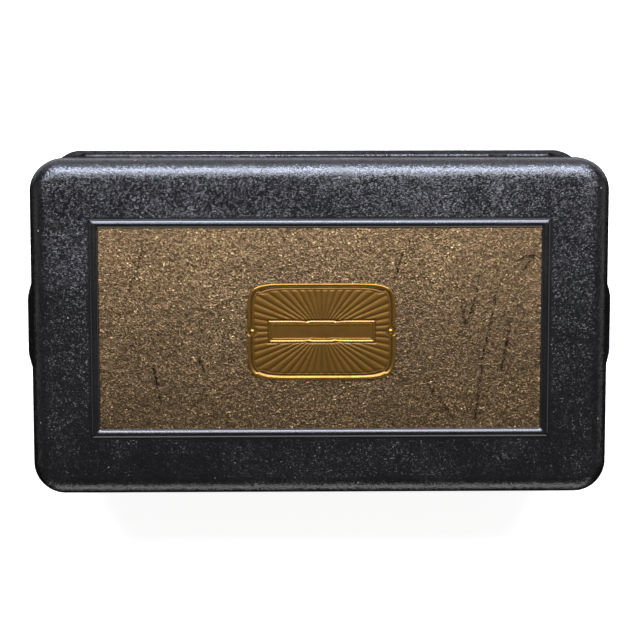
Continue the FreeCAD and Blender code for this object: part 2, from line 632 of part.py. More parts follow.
def toggle_switch():
    """The mains switch: a boxed body with a bored bushing, and a lever that rocks in it."""
    x, z = "-control_step", "control_axis"
    case = block("toggle_case", (f"{x}-toggle_width/2", f"{x}+toggle_width/2"),
                 (back("sheet"), back("sheet+toggle_depth")),
                 (f"{z}-toggle_tall/2", f"{z}+toggle_tall/2"))
    neck = rod("toggle_neck", "y", (x, back("-8"), z), "8+sheet", "toggle_bushing")
    bore = rod("toggle_bore_hole", "y", (x, back("-9"), z), "10", "toggle_bore")
    keep(cut("toggle_bored", join("toggle_solid", [case, neck]), [bore]), "toggle_switch")
    lever = turned("lever", "y", [("0", "-17"), ("1.6", "-17", "1"), ("2.6", "-15.5"), ("1.5", "-4"),
                                  ("1.5", "3"), ("0", "3")])
    place(lever, x, back("-toggle_pivot"), z, FreeCAD.Rotation(Vector(1, 0, 0), number("toggle_angle")))
    keep(lever, "toggle_lever")


def panel_nuts():
    """Hexagon nuts that clamp the volume control and the switch to the front wall."""
    nuts = []
    for word, x, hole, size in (("volume", "control_step", "bushing_radius", 8),
                                ("toggle", "-control_step", "toggle_bushing", 9.5)):
        prism = document.addObject("Part::Prism", word + "_nut_blank")
        prism.Polygon = 6
        bind(prism, Circumradius=size, Height="nut_thick")
        place(prism, x, back("-nut_thick"), "control_axis", ALONG["y"])
        bore = rod(word + "_nut_bore", "y", (x, back("-9"), "control_axis"), "12", hole)
        nuts.append(cut(word + "_nut", prism, [bore]))
    keep(group("nuts", nuts), "panel_nuts")


def pilot_lamp():
    """A small lamp above the belts that lights the dial from behind, and its holder."""
    z = "dial_axis+30"
    seat = "deck_front-8"
    keep(turned("lamp_socket", "y", tube("0", "6", seat, "deck_front"), "0", FRONT, z), "pilot_lamp_holder")
    bulb = [("0", seat), ("4.5", seat), ("4.5", f"{seat}-6"), ("5", f"{seat}-8", "-5"), ("0", f"{seat}-13")]
    keep(turned("lamp", "y", bulb, "0", FRONT, z), "pilot_lamp")


# --- chassis ------------------------------------------------------------------------------------

DECK_REAR = "(deck_front+deck_depth)"
PAN_LOW = "(foot_height+2*sheet)"
PAN_SCREWS = [(f"{i}*(deck_width/2+pan_flange/2)", f"{j}*60") for i, j in CORNERS]


def valve_places():
    """Where the valves stand: a row along the rear and the rectifier at the front right."""
    row_of = [(f"valve_left+{i}*valve_step", back("valve_depth")) for i in range(int(number("valve_count")))]
    return row_of + [("rectifier_right", back("rectifier_depth"))]


def chassis_pan():
    """An upturned steel tray with a foot along each end and a hole under each valve."""
    side, rear = "deck_width/2", DECK_REAR
    outer = block("pan_outer", (f"-{side}", side), (back("deck_front"), back(rear)), (PAN_LOW, "deck"))
    inner = block("pan_inner", (f"-{side}+pan_sheet", f"{side}-pan_sheet"),
                  (back("deck_front+pan_sheet"), back(f"{rear}-pan_sheet")), (f"{PAN_LOW}-1", "deck-pan_sheet"))
    feet = [block(f"pan_foot_{i}", x, (back("deck_front"), back(rear)), (PAN_LOW, f"{PAN_LOW}+pan_sheet"))
            for i, x in enumerate(((f"-{side}-pan_flange", f"-{side}"), (side, f"{side}+pan_flange")))]
    holes = [rod(f"pan_valve_hole_{i}", "z", (x, y, "deck-5"), "10", "14")
             for i, (x, y) in enumerate(valve_places())]
    holes += [rod(f"pan_screw_hole_{i}", "z", (x, f"{MIDDLE}+{y}", PAN_LOW), "3", "screw_radius")
              for i, (x, y) in enumerate(PAN_SCREWS)]
    tray = join("pan_tray", [cut("pan_hollow", outer, [inner])] + feet)
    keep(cut("pan_drilled", tray, holes), "chassis_pan")


# --- tuning condensers --------------------------------------------------------------------------

def condenser_frame(name, x):
    """Two end plates on a floor, with two tie rods over the rotor."""
    wide = (f"{x}-tuner_width/2", f"{x}+tuner_width/2")
    front, rear = "deck_front", "deck_front+tuner_depth"
    plates = [block(f"{name}_floor", wide, (back(front), back(rear)), ("deck", "deck+pan_sheet")),
              block(f"{name}_front", wide, (back(front), back(f"{front}+pan_sheet")), ("deck", "tuner_top")),
              block(f"{name}_rear", wide, (back(f"{rear}-pan_sheet"), back(rear)), ("deck", "tuner_top"))]
    plates += [rod(f"{name}_tie_{side + 2}", "y", (f"{x}+{side}*30", back(front), "tuner_top-6"),
                   "tuner_depth", "2") for side in (-1, 1)]
    bore = rod(f"{name}_bore", "y", (x, back(f"{front}-2"), "dial_axis"), "tuner_depth+4",
               "shaft_radius+shaft_play")
    return cut(f"{name}_bored", join(f"{name}_folded", plates), [bore])


def plate_pack(name, points, first, count):
    """A body with one plate outline repeated along Y, its first plate centred at a depth."""
    owner = body(name)
    sketch = sketch_on(owner, "XZ_Plane", name + "_outline", f"-({first}+({count}-1)*plate_pitch+plate_thick/2)")
    outline(sketch, points)
    plate = feature("Pad", owner, sketch, name + "_plate", Length="plate_thick")
    document.recompute()
    repeat(owner, plate, sketch, name + "_plates", count, "plate_pitch")
    return owner


def condenser_rotor(name, x, shaft_start):
    """Half-round plates on a shaft, hanging fully inside the stator."""
    pack = plate_pack(f"{name}_pack", [("-rotor_radius", "0", "rotor_radius"), ("rotor_radius", "0"),
                                       ("6", "6"), ("-6", "6")], "deck_front+7", "rotor_plates")
    shaft = rod(f"{name}_shaft", "y", (x, back(shaft_start), "dial_axis"),
                f"deck_front+tuner_depth+1-({shaft_start})", "shaft_radius")
    place(pack, x, FRONT, "dial_axis")
    return join(f"{name}_built", [pack, shaft])


def condenser_stator(name, x):
    """Half-ring plates between the rotor's plates, carried by two rods."""
    bore, rim, gap = "stator_bore", "stator_radius", "-1.5"
    pack = plate_pack(f"{name}_pack", [(f"-{rim}+0.1", gap, rim), (f"{rim}-0.1", gap), (bore, gap, f"-{bore}"),
                                       (f"-{bore}", gap)], "deck_front+5", "stator_plates")
    place(pack, x, FRONT, "dial_axis")
    rods = [rod(f"{name}_rod_{side + 2}", "y",
                (f"{x}+{side}*stator_rod_side", back("deck_front+pan_sheet"), "dial_axis-stator_rod_drop"),
                "tuner_depth-2*pan_sheet", "stator_rod") for side in (-1, 1)]
    return join(f"{name}_built", [pack] + rods)


def tuner():
    """Three condensers with a pulley each; the middle shaft also carries the dial."""
    stators = []
    for index in (1, 2, 3):
        x = f"({index - 2})*tuner_step"
        start = "dial_depth-1" if index == 2 else "pulley_depth-0.5"
        keep(condenser_frame(f"tuner_{index}", x), f"condenser_frame_{index}")
        stators.append(condenser_stator(f"stator_{index}", x))
        keep(condenser_rotor(f"rotor_{index}", x, start), f"condenser_rotor_{index}")
        profile = tube("shaft_radius", "pulley_radius", "pulley_depth", "pulley_depth+pulley_length")
        keep(turned(f"pulley_{index}", "y", profile, x, FRONT, "dial_axis"), f"belt_pulley_{index}")
    keep(group("stators", stators), "condenser_stators")


def belt_loop(name, side, low):
    """A thin metal band round the middle pulley and one side pulley."""
    def loop(word, radius):
        owner = body(f"{name}_{word}")
        sketch = sketch_on(owner, "XZ_Plane", f"{name}_{word}_outline")
        left, right = ("0", "tuner_step") if side > 0 else ("-tuner_step", "0")
        outline(sketch, [(right, f"-({radius})", radius), (right, radius), (left, radius, radius),
                         (left, f"-({radius})")])
        feature("Pad", owner, sketch, f"{name}_{word}_pad", Length="belt_width")
        return place(owner, "0", back(f"{low}+belt_width"), "dial_axis")
    inside = loop("inside", "pulley_radius+belt_gap")
    return cut(name, loop("outside", "pulley_radius+belt_gap+belt_thick"), [inside])


def drive_belts():
    left = belt_loop("left_belt", -1, "pulley_depth+0.5")
    right = belt_loop("right_belt", 1, "pulley_depth+4")
    keep(group("belts", [left, right]), "drive_belts")


# --- coils and valves ---------------------------------------------------------------------------

def coils():
    """Three wound coils on card tubes, one behind each condenser."""
    windings = []
    for index in (1, 2, 3):
        x, y = f"coil_left+({index}-1)*coil_step", back("coil_depth")
        former = tube("coil_radius-coil_wall", "coil_radius", "deck", "deck+coil_height")
        keep(turned(f"former_{index}", "z", former, x, y), f"coil_former_{index}")
        wound = tube("coil_radius", "coil_radius+winding_thick", "deck+winding_low", "deck+winding_high")
        windings.append(turned(f"winding_{index}", "z", wound, x, y))
    keep(group("windings", windings), "coil_windings")


def valve_socket(index, x, y):
    blank = rod(f"socket_{index}_blank", "z", (x, y, "deck"), "socket_height", "socket_radius")
    holes = [rod(f"socket_{index}_hole_{i}", "z", (f"{x}+{u}*pin_circle*0.7071", f"{y}+{v}*pin_circle*0.7071",
                                                  "deck-1"), "20", "pin_radius")
             for i, (u, v) in enumerate(CORNERS)]
    return cut(f"socket_{index}", blank, holes)


def valve_base(index, x, y):
    low = "deck+socket_height"
    cup = rod(f"base_{index}_cup", "z", (x, y, low), "valve_base_height", "valve_base_radius")
    pins = [rod(f"base_{index}_pin_{i}", "z", (f"{x}+{u}*pin_circle*0.7071", f"{y}+{v}*pin_circle*0.7071",
                                              f"{low}-pin_length"), "pin_length", "pin_radius")
            for i, (u, v) in enumerate(CORNERS)]
    return join(f"base_{index}", [cup] + pins)


VALVE_SEAT = "(deck+socket_height+valve_base_height)"


def valve_bulb(index, x, y):
    """A pear-shaped glass envelope, hollow."""
    seat, crown = VALVE_SEAT, f"({VALVE_SEAT}+bulb_height)"
    wide = f"{crown}-bulb_radius"
    profile = [("neck_radius-glass", seat), ("neck_radius", seat), ("neck_radius", f"{seat}+8"),
               ("bulb_radius", f"{seat}+30"), ("bulb_radius", wide, "bulb_radius"), ("0", crown),
               ("0", f"{crown}-glass", "-(bulb_radius-glass)"), ("bulb_radius-glass", wide),
               ("bulb_radius-glass", f"{seat}+30.3"), ("neck_radius-glass", f"{seat}+8.3")]
    return turned(f"bulb_{index}", "z", profile, x, y)


def valve_element(index, x, y):
    """The stem and the anode inside the glass."""
    seat = VALVE_SEAT
    profile = [("0", seat), ("5", seat), ("3", f"{seat}+18"), ("anode_radius", f"{seat}+18"),
               ("anode_radius", f"{seat}+18+anode_height"), ("0", f"{seat}+18+anode_height")]
    return turned(f"element_{index}", "z", profile, x, y)


def valves():
    makers = ((valve_socket, "tube_sockets"), (valve_base, "tube_bases"), (valve_bulb, "tube_bulbs"),
              (valve_element, "tube_elements"))
    for maker, label in makers:
        made = [maker(index, x, y) for index, (x, y) in enumerate(valve_places(), 1)]
        keep(group(label + "_set", made), label)


# --- power supply and audio ---------------------------------------------------------------------

def power_supply():
    """A steel can over the mains transformer and the two filter condensers."""
    x = ("can_left", "can_left+can_width")
    y = (back("can_front"), back("can_front+can_depth"))
    top = "deck+can_height"
    outer = block("can_outer", x, y, ("deck", top))
    inner = block("can_inner", (f"{x[0]}+sheet", f"{x[1]}-sheet"), (f"{y[0]}+sheet", f"{y[1]}-sheet"),
                  ("deck-1", f"{top}-sheet"))
    keep(cut("can_folded", outer, [inner]), "power_can")
    centre, lane = "can_left+can_width/2", back("can_front+32")
    core = block("mains_core", (f"{centre}-38", f"{centre}+38"), (f"{lane}-16", f"{lane}+16"),
                 ("deck", "deck+88"))
    windows = [block(f"mains_window_{i}", (f"{centre}{low}", f"{centre}{high}"), (f"{lane}-17", f"{lane}+17"),
                     ("deck+14", "deck+74")) for i, (low, high) in enumerate((("-26", "-11"), ("+11", "+26")))]
    wound = block("mains_wound", (f"{centre}-25.5", f"{centre}+25.5"), (f"{lane}-26", f"{lane}+26"),
                  ("deck+15", "deck+73"))
    limb = block("mains_limb", (f"{centre}-11", f"{centre}+11"), (f"{lane}-16", f"{lane}+16"),
                 ("deck", "deck+88"))
    stack = join("mains_stack", [cut("mains_frame", core, windows), limb])
    keep(join("mains_built", [stack, wound]), "mains_transformer")
    boxes = [block(f"filter_{i}", (f"{centre}+{low}", f"{centre}+{low}+44"),
                   (back("can_front+64"), back("can_front+106")), ("deck", "deck+92"))
             for i, low in enumerate((-46, 2))]
    keep(group("filters", boxes), "filter_condensers")


def audio_transformers():
    """Two interstage transformers in folded steel covers with mounting tabs."""
    spots = (("-174", "66.5", 25, 30, 56), ("-97.5", "coil_depth", 25, 24, 52))
    for index, (x, depth, half_x, half_y, tall) in enumerate(spots, 1):
        y = back(depth)
        cover = block(f"audio_{index}_cover", (f"{x}-{half_x}", f"{x}+{half_x}"),
                      (f"{y}-{half_y}+7", f"{y}+{half_y}-7"), ("deck", f"deck+{tall}"))
        tab = block(f"audio_{index}_tab", (f"{x}-{half_x}", f"{x}+{half_x}"),
                    (f"{y}-{half_y}", f"{y}+{half_y}"), ("deck", "deck+1.6"))
        keep(join(f"audio_{index}_built", [cover, tab]), f"audio_transformer_{index}")


def grid_leak():
    """A glass cartridge resistor between two spring clips."""
    x, y, z = "8", back("coil_depth"), "deck+12"
    cartridge = rod("leak_rod", "x", (f"{x}-16", y, z), "32", "4")
    caps = [rod(f"leak_cap_{i}", "x", (f"{x}+{low}", y, z), "6", "4.6") for i, low in enumerate((-17, 11))]
    clips = [block(f"leak_clip_{i}", (f"{x}+{low}", f"{x}+{low}+3"), (f"{y}-4", f"{y}+4"), ("deck", z))
             for i, low in enumerate((-15.5, 12.5))]
    keep(join("leak_built", [cartridge] + caps + clips), "grid_leak")


def bypass_condensers():
    """Sealed block condensers under the deck, each hung from it by its lid."""
    high = "deck-pan_sheet"
    boxes = [block(f"bypass_{i}", (f"{x}", f"{x}+58"), (back("80"), back("122")), (f"{high}-22", high))
             for i, x in enumerate((-170, -90, 60, 128))]
    keep(group("bypass_set", boxes), "bypass_condensers")


# --- terminals and wiring -----------------------------------------------------------------------

STUDS = (("antenna_nut_long", "-138"), ("antenna_nut_short", "-114"), ("ground_nut", "-90"))
JACKS = ("-62", "-44")


def terminals():
    """An insulating strip behind a slot in the rear wall, with studs, nuts and two tip jacks."""
    low, high = DECK_REAR, f"{DECK_REAR}+terminal_thick"
    strip = block("strip_blank", ("terminal_left", "terminal_left+terminal_width"), (back(low), back(high)),
                  ("terminal_low", "terminal_high"))
    holes = [rod(f"strip_hole_{i}", "y", (x, back(f"{low}-2"), "terminal_axis"), "terminal_thick+4", radius)
             for i, (x, radius) in enumerate([(x, "stud_radius") for _, x in STUDS]
                                             + [(x, "jack_radius-1") for x in JACKS])]
    keep(cut("strip_drilled", strip, holes), "terminal_strip")
    thread = f"{high}+1+terminal_nut_length+0.5"
    shape = [("0", f"{low}-4"), ("stud_radius", f"{low}-4"), ("stud_radius", thread), ("stud_tip_radius", thread),
             ("stud_tip_radius", f"{thread}+stud_tip_length"), ("0", f"{thread}+stud_tip_length")]
    studs = [turned(f"stud_{i}", "y", shape, x, FRONT, "terminal_axis") for i, (_, x) in enumerate(STUDS)]
    keep(group("studs", studs), "terminal_studs")
    for label, x in STUDS:
        ring = tube("stud_radius+shaft_play", "terminal_nut_radius", f"{high}+1", f"{high}+1+terminal_nut_length")
        keep(turned(label + "_ring", "y", ring, x, FRONT, "terminal_axis"), label)
    profile = [("0", f"{low}-2"), ("jack_radius-1", f"{low}-2"), ("jack_radius-1", high), ("jack_radius", high),
               ("jack_radius", f"{high}+jack_length"), ("jack_bore", f"{high}+jack_length"),
               ("jack_bore", high), ("0", high)]
    jacks = [turned(f"jack_{i}", "y", profile, x, FRONT, "terminal_axis") for i, x in enumerate(JACKS)]
    keep(group("jacks", jacks), "speaker_jacks")


def wire_solid(points, radius):
    """A wire of straight runs joined by arcs as large as the runs allow."""
    spots = [Vector(*(number(text) for text in point)) for point in points]
    edges, start = [], spots[0]
    for before, corner, after in zip(spots, spots[1:], spots[2:]):
        to_before, to_after = (before - corner).normalize(), (after - corner).normalize()
        half_turn = (math.pi - to_before.getAngle(to_after)) / 2
        reach = 0.45 * min((before - corner).Length, (after - corner).Length)
        bend = reach / math.tan(half_turn)
        enter, leave = corner + to_before * reach, corner + to_after * reach
        inward = (to_before + to_after).normalize()
        crest = corner + inward * (bend / math.cos(half_turn) - bend)
        edges += [Part.LineSegment(start, enter).toShape(), Part.Arc(enter, crest, leave).toShape()]
        start = leave
    edges.append(Part.LineSegment(start, spots[-1]).toShape())
    path = Part.Wire(edges)
    ring = Part.Wire([Part.makeCircle(radius, spots[0], spots[1] - spots[0])])
    solid = path.makePipeShell([ring], True, False)
    expected = math.pi * radius ** 2 * path.Length
    if abs(solid.Volume / expected - 1) > 0.01:
        raise ValueError(f"a wire's volume is {solid.Volume:.1f}, not {expected:.1f}")
    return solid


def hookup_wires():
    """Insulated leads from each stator to a coil, and from the terminals down into the pan."""
    wires = []
    for index in (1, 2, 3):
        x, coil = number(f"({index - 2})*tuner_step"), number(f"coil_left+({index}-1)*coil_step")
        start, end = number(back("deck_front+tuner_depth")), number(back("coil_depth-coil_radius"))
        height = number("deck+16")
        wires.append([(x - 20, start, height), (x - 20, start + 12, height), (coil + 6, end - 12, height - 9),
                      (coil + 6, end, height - 9)])
    solids = [wire_solid([tuple(f"{value:.4f}" for value in point) for point in wire], 1) for wire in wires]
    item = document.addObject("Part::Feature", "wires")
    item.Shape = Part.makeCompound(solids)
    item.Placement = FreeCAD.Placement()
    keep(item, "hookup_wires")


for make in (case_walls, bottom_plate, base_screws, rubber_feet, lid_shell, badge_plate, badge_rivets,
             dial_escutcheon, escutcheon_screws, dial_window, cord_grommet, tuning_drive, tuning_bracket,
             dial_disc, volume_control, toggle_switch, panel_nuts, pilot_lamp, chassis_pan,
             tuner, drive_belts, coils, valves, power_supply, audio_transformers, grid_leak,
             bypass_condensers, terminals, hookup_wires):
    make()
document.recompute()

failed = [item.Label for item in document.Objects if {"Invalid", "Error"} & set(item.State)]
failed += [item.Label for item in subparts if item.Shape.isNull() or not item.Shape.isValid()]
if failed:
    raise RuntimeError("these did not build: " + ", ".join(sorted(set(failed))))
os.makedirs("parts", exist_ok=True)
for item in subparts:
    item.Shape.exportStep(f"parts/{item.Label}.step")
    box = item.Shape.BoundBox
    print(f"{item.Label:24s} {len(item.Shape.Solids):3d} solids {item.Shape.Volume:12.1f} mm3 "
          f"{box.XMin:8.2f} {box.YMin:8.2f} {box.ZMin:8.2f} {box.XMax:8.2f} {box.YMax:8.2f} {box.ZMax:8.2f}")
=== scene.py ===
import math
import bmesh
import bpy
from mathutils import Matrix, Vector, noise


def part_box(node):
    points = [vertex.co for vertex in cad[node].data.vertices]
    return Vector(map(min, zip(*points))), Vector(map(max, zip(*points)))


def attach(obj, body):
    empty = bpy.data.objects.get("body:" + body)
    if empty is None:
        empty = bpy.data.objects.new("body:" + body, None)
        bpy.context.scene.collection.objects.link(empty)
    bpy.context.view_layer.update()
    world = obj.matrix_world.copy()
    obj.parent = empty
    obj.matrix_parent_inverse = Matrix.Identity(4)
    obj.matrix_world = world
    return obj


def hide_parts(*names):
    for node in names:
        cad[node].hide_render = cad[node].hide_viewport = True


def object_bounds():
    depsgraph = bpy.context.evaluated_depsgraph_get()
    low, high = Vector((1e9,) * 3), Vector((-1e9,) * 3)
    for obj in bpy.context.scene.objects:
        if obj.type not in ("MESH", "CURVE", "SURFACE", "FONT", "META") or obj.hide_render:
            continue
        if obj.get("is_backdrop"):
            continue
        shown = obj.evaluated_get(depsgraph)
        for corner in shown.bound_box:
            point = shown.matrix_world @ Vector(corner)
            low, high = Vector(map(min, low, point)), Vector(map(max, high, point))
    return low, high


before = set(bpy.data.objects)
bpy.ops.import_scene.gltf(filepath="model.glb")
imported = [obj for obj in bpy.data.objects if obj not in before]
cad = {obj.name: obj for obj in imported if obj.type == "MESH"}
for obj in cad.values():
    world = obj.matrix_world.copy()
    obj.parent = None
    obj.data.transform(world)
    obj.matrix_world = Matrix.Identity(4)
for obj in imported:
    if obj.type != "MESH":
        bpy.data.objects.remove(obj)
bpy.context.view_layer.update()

# --- Table, camera and light ---------------------------------------------------------------------
# A white paper sweep under the set and a long lens almost straight above the lid. Cold softboxes
# behind the set graze the lid, so that its rear edge shines, and a bounce on the floor lights the
# rear wall. Weak fills at the ends and front and a brighter sky above leave the front edge dark.


def linear(code):
    """An sRGB hex colour as linear RGBA."""
    parts = [int(code[i:i + 2], 16) / 255 for i in (1, 3, 5)]
    return [c / 12.92 if c <= 0.04045 else ((c + 0.055) / 1.055) ** 2.4 for c in parts] + [1]


def add(tree, kind, inputs=None, **settings):
    """Add a shader node. Settings are its properties; inputs fill sockets with values or outputs.

    A colour Mix node's sockets are 0 for the share and 6 and 7 for its colours; its output is 2.
    """
    made = tree.nodes.new("ShaderNode" + kind)
    for key, value in settings.items():
        setattr(made, key, value)
    for key, value in (inputs or {}).items():
        if isinstance(value, bpy.types.NodeSocket):
            tree.links.new(value, made.inputs[key])
        else:
            made.inputs[key].default_value = value
    return made


def finish_of(name, **values):
    """A new material with one principled shader: its node tree and shader are returned with it."""
    made = bpy.data.materials.new(name)
    made.use_nodes = True
    tree = made.node_tree
    tree.nodes.clear()
    shader = add(tree, "BsdfPrincipled", {key.replace("_", " "): v for key, v in values.items()})
    add(tree, "OutputMaterial", {"Surface": shader.outputs["BSDF"]})
    return made, tree, shader


def surface(name, points, faces, smooth=True):
    """A mesh from points and faces."""
    made = bpy.data.meshes.new(name)
    made.from_pydata(points, [], faces)
    if smooth:
        made.polygons.foreach_set("use_smooth", [True] * len(made.polygons))
    return made


def per_metre(size_mm):
    """The texture scale whose features are this many millimetres."""
    return 1000 / size_mm


def link(tree, start, shader, socket):
    """Join an output to one of the shader's sockets."""
    tree.links.new(start, shader.inputs[socket])


def put(name, data):
    """A new object in the scene made from a mesh, curve, lamp or camera."""
    made = bpy.data.objects.new(name, data)
    bpy.context.scene.collection.objects.link(made)
    return made


SWEEP_RADIUS, SWEEP_BEND, SWEEP_TALL, SWEEP_SIDES = 3.4, 0.8, 3.6, 96


def sweep_mesh():
    """A round floor that curves up into a wall on every side."""
    curve = [(SWEEP_RADIUS * step / 8, 0) for step in range(1, 9)]
    curve += [(SWEEP_RADIUS + SWEEP_BEND * math.sin(turn), SWEEP_BEND * (1 - math.cos(turn)))
              for turn in (math.pi / 2 * step / 12 for step in range(1, 13))]
    curve.append((SWEEP_RADIUS + SWEEP_BEND, SWEEP_TALL))
    points = [(0, 0, 0)]
    for radius, height in curve:
        points += [(radius * math.cos(turn), radius * math.sin(turn), height)
                   for turn in (math.tau * side / SWEEP_SIDES for side in range(SWEEP_SIDES))]
    faces = [(0, 1 + side, 1 + (side + 1) % SWEEP_SIDES) for side in range(SWEEP_SIDES)]
    for level in range(len(curve) - 1):
        first, above = 1 + level * SWEEP_SIDES, 1 + (level + 1) * SWEEP_SIDES
        for side in range(SWEEP_SIDES):
            after = (side + 1) % SWEEP_SIDES
            faces.append((first + side, above + side, above + after, first + after))
    return surface("paper_sweep", points, faces)


mesh = sweep_mesh()
paper = put("paper_sweep", mesh)
paper.location.z = -0.0002
paper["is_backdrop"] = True
paper.visible_glossy = paper.visible_diffuse = False
# Uncoated paper: matt, faintly grained and glowing a little, so that it stays white.
paper_white, tree, shader = finish_of("uncoated_paper", Roughness=0.95, Emission_Strength=0.8)
shader.inputs["Emission Color"].default_value = linear("#ffffff")
grain = add(tree, "TexNoise", {"Vector": add(tree, "TexCoord").outputs["Object"], "Scale": per_metre(4),
                               "Detail": 4})
tone = add(tree, "Mix", {0: grain.outputs["Fac"], 6: linear("#f2f0ec"), 7: linear("#f8f6f2")},
           data_type="RGBA")
link(tree, tone.outputs[2], shader, "Base Color")
mesh.materials.append(paper_white)

camera = put("camera", bpy.data.cameras.new("camera"))
bpy.context.scene.camera = camera
camera.location = (-0.0291, 0.2345, 1.852)
camera.rotation_mode = "ZXY"
camera.rotation_euler = [math.radians(turn) for turn in (-7.446, -0.986, -0.04)]
camera.data.sensor_width = 36
camera.data.lens = 122.7


def softbox(name, place, aim, size, power, colour):
    """A rectangular area light that points at a spot."""
    lamp = bpy.data.lights.new(name, "AREA")
    lamp.shape = "RECTANGLE"
    lamp.size, lamp.size_y = size
    lamp.energy = power
    lamp.color = linear(colour)[:3]
    made = put(name, lamp)
    made.location = place
    made.rotation_euler = (Vector(aim) - Vector(place)).to_track_quat("-Z", "Y").to_euler()
    return made


softbox("rear_window", (0, 0.95, 0.95), (0, 0.1, 0.17), (1.7, 0.42), 48, "#dfe8ff")
softbox("rear_low", (0, 1.5, 0.5), (0, 0.1, 0.15), (2.4, 0.8), 12, "#e4ecff")
softbox("rear_glow", (0, 0.39, 1.05), (0, 0, 0.17), (1.2, 0.22), 8.5, "#f1f3ff")
softbox("rear_bounce", (0, 0.6, 0.004), (0, 0.6, 1), (1.3, 0.85), 2.6, "#f4f7ff").visible_camera = False
softbox("left_fill", (-1.6, 0, 0.4), (0, 0, 0.08), (0.8, 0.6), 0.8, "#ffffff")
softbox("right_fill", (1.6, 0, 0.4), (0, 0, 0.08), (0.8, 0.6), 1.2, "#ffffff")
softbox("front_fill", (0, -1.8, 0.42), (0, 0, 0.08), (2.4, 0.8), 13, "#ffffff")
world = bpy.data.worlds.new("studio")
bpy.context.scene.world = world
world.use_nodes = True
sky = world.node_tree.nodes["Background"]
place = add(world.node_tree, "TexCoord")
height = add(world.node_tree, "SeparateXYZ", {"Vector": place.outputs["Generated"]})
rise = add(world.node_tree, "MapRange", {"Value": height.outputs["Z"], "From Min": -0.1, "From Max": 0.35,
                                         "To Min": 0.012, "To Max": 0.1})
sky.inputs["Color"].default_value = linear("#eef0f6")
world.node_tree.links.new(rise.outputs[0], sky.inputs["Strength"])
bpy.context.scene.view_settings.view_transform = "Standard"

# --- Case ----------------------------------------------------------------------------------------
# The case is pressed from 1.2 mm steel and stoved with black crystalline enamel: a heavy brown-black
# coat that shrank into fine wrinkles as it dried. It gives a leathery, half-gloss black that is
# rubbed through to rust-brown primer where hands and cloths have worn it.

# The enamel glitters: each wrinkle leans its own way and catches the light in its coat. Sizes of
# wrinkles, curdling, swells, clouds and pale specks are in millimetres. The finest real wrinkles
# wouldn't show, so they are drawn coarser.
WRINKLE, CURDLE, SWELL, CLOUD, SPECK = 1.15, 1.9, 9, 42, 7.5
WRINKLE_BEND, WRINKLE_DEEP, WRINKLE_LEAN = 0.0005, 0.00026, 0.3
enamel, tree, shader = finish_of("black_crystalline_enamel", IOR=1.54, Coat_Weight=0.4,
                                 Coat_Roughness=0.18)
spot = add(tree, "TexCoord").outputs["Object"]
cloud = add(tree, "TexNoise", {"Vector": spot, "Scale": per_metre(CLOUD), "Detail": 5, "Roughness": 0.62})
swell = add(tree, "TexNoise", {"Vector": spot, "Scale": per_metre(SWELL), "Detail": 2})
curdle = add(tree, "TexNoise", {"Vector": spot, "Scale": per_metre(CURDLE), "Detail": 3, "Roughness": 0.6,
                                "Distortion": 0.8})
bent = add(tree, "VectorMath", {0: curdle.outputs["Color"], 1: [WRINKLE_BEND] * 3, 2: spot},
           operation="MULTIPLY_ADD")
wrinkle = add(tree, "TexVoronoi", {"Vector": bent.outputs[0], "Scale": per_metre(WRINKLE),
                                   "Smoothness": 0.5}, feature="SMOOTH_F1")
dark = add(tree, "MapRange", {"Value": cloud.outputs["Fac"], "From Min": 0.35, "From Max": 0.7})
coat = add(tree, "Mix", {0: dark.outputs[0], 6: linear("#0d0a09"), 7: linear("#171211")},
           data_type="RGBA")
# Painted shade: the valleys between the wrinkles are darkened to near-black in the colour itself.
valley_shade = add(tree, "MapRange", {"Value": wrinkle.outputs["Distance"], "From Min": 0.2, "From Max": 0.75})
shade_in_valleys = add(tree, "Mix", {0: valley_shade.outputs[0], 6: coat.outputs[2], 7: linear("#060505")},
              data_type="RGBA")
speck = add(tree, "TexVoronoi", {"Vector": spot, "Scale": per_metre(SPECK)}, feature="F1")
speck_dot = add(tree, "MapRange", {"Value": speck.outputs["Distance"], "From Min": 0.11,
                                   "From Max": 0.06})
speck_some = add(tree, "SeparateColor", {"Color": speck.outputs["Color"]})
speck_rare = add(tree, "Math", {0: speck_some.outputs[0], 1: 0.91}, operation="GREATER_THAN")
speck_on = add(tree, "Math", {0: speck_dot.outputs[0], 1: speck_rare.outputs[0]}, operation="MULTIPLY")
dotted = add(tree, "Mix", {0: speck_on.outputs[0], 6: shade_in_valleys.outputs[2], 7: linear("#7d756c")},
             data_type="RGBA")
wear = add(tree, "Attribute", attribute_name="wear")
ragged = add(tree, "TexNoise", {"Vector": spot, "Scale": per_metre(2.2), "Detail": 6, "Roughness": 0.75})
worn_sum = add(tree, "Math", {0: wear.outputs["Fac"], 1: ragged.outputs["Fac"]}, operation="ADD")
worn = add(tree, "MapRange", {"Value": worn_sum.outputs[0], "From Min": 0.88, "From Max": 1.15})
rubbed = add(tree, "Mix", {0: ragged.outputs["Fac"], 6: linear("#38190f"), 7: linear("#9a7264")},
             data_type="RGBA")
skin = add(tree, "Mix", {0: worn.outputs[0], 6: dotted.outputs[2], 7: rubbed.outputs[2]},
           data_type="RGBA")
link(tree, skin.outputs[2], shader, "Base Color")
gloss = add(tree, "MapRange", {"Value": cloud.outputs["Fac"], "From Min": 0.3, "From Max": 0.75,
                               "To Min": 0.23, "To Max": 0.3})
link(tree, gloss.outputs[0], shader, "Roughness")
relief = add(tree, "Math", {0: wrinkle.outputs["Distance"], 1: -0.75, 2: curdle.outputs["Fac"]},
             operation="MULTIPLY_ADD")
rolling = add(tree, "Math", {0: swell.outputs["Fac"], 1: 0.9, 2: relief.outputs[0]},
              operation="MULTIPLY_ADD")
even = add(tree, "Attribute", attribute_name="even")
shrunk = add(tree, "MapRange", {"Value": cloud.outputs["Fac"], "From Min": 0.3, "From Max": 0.62,
                                "To Min": 0.6, "To Max": 1})
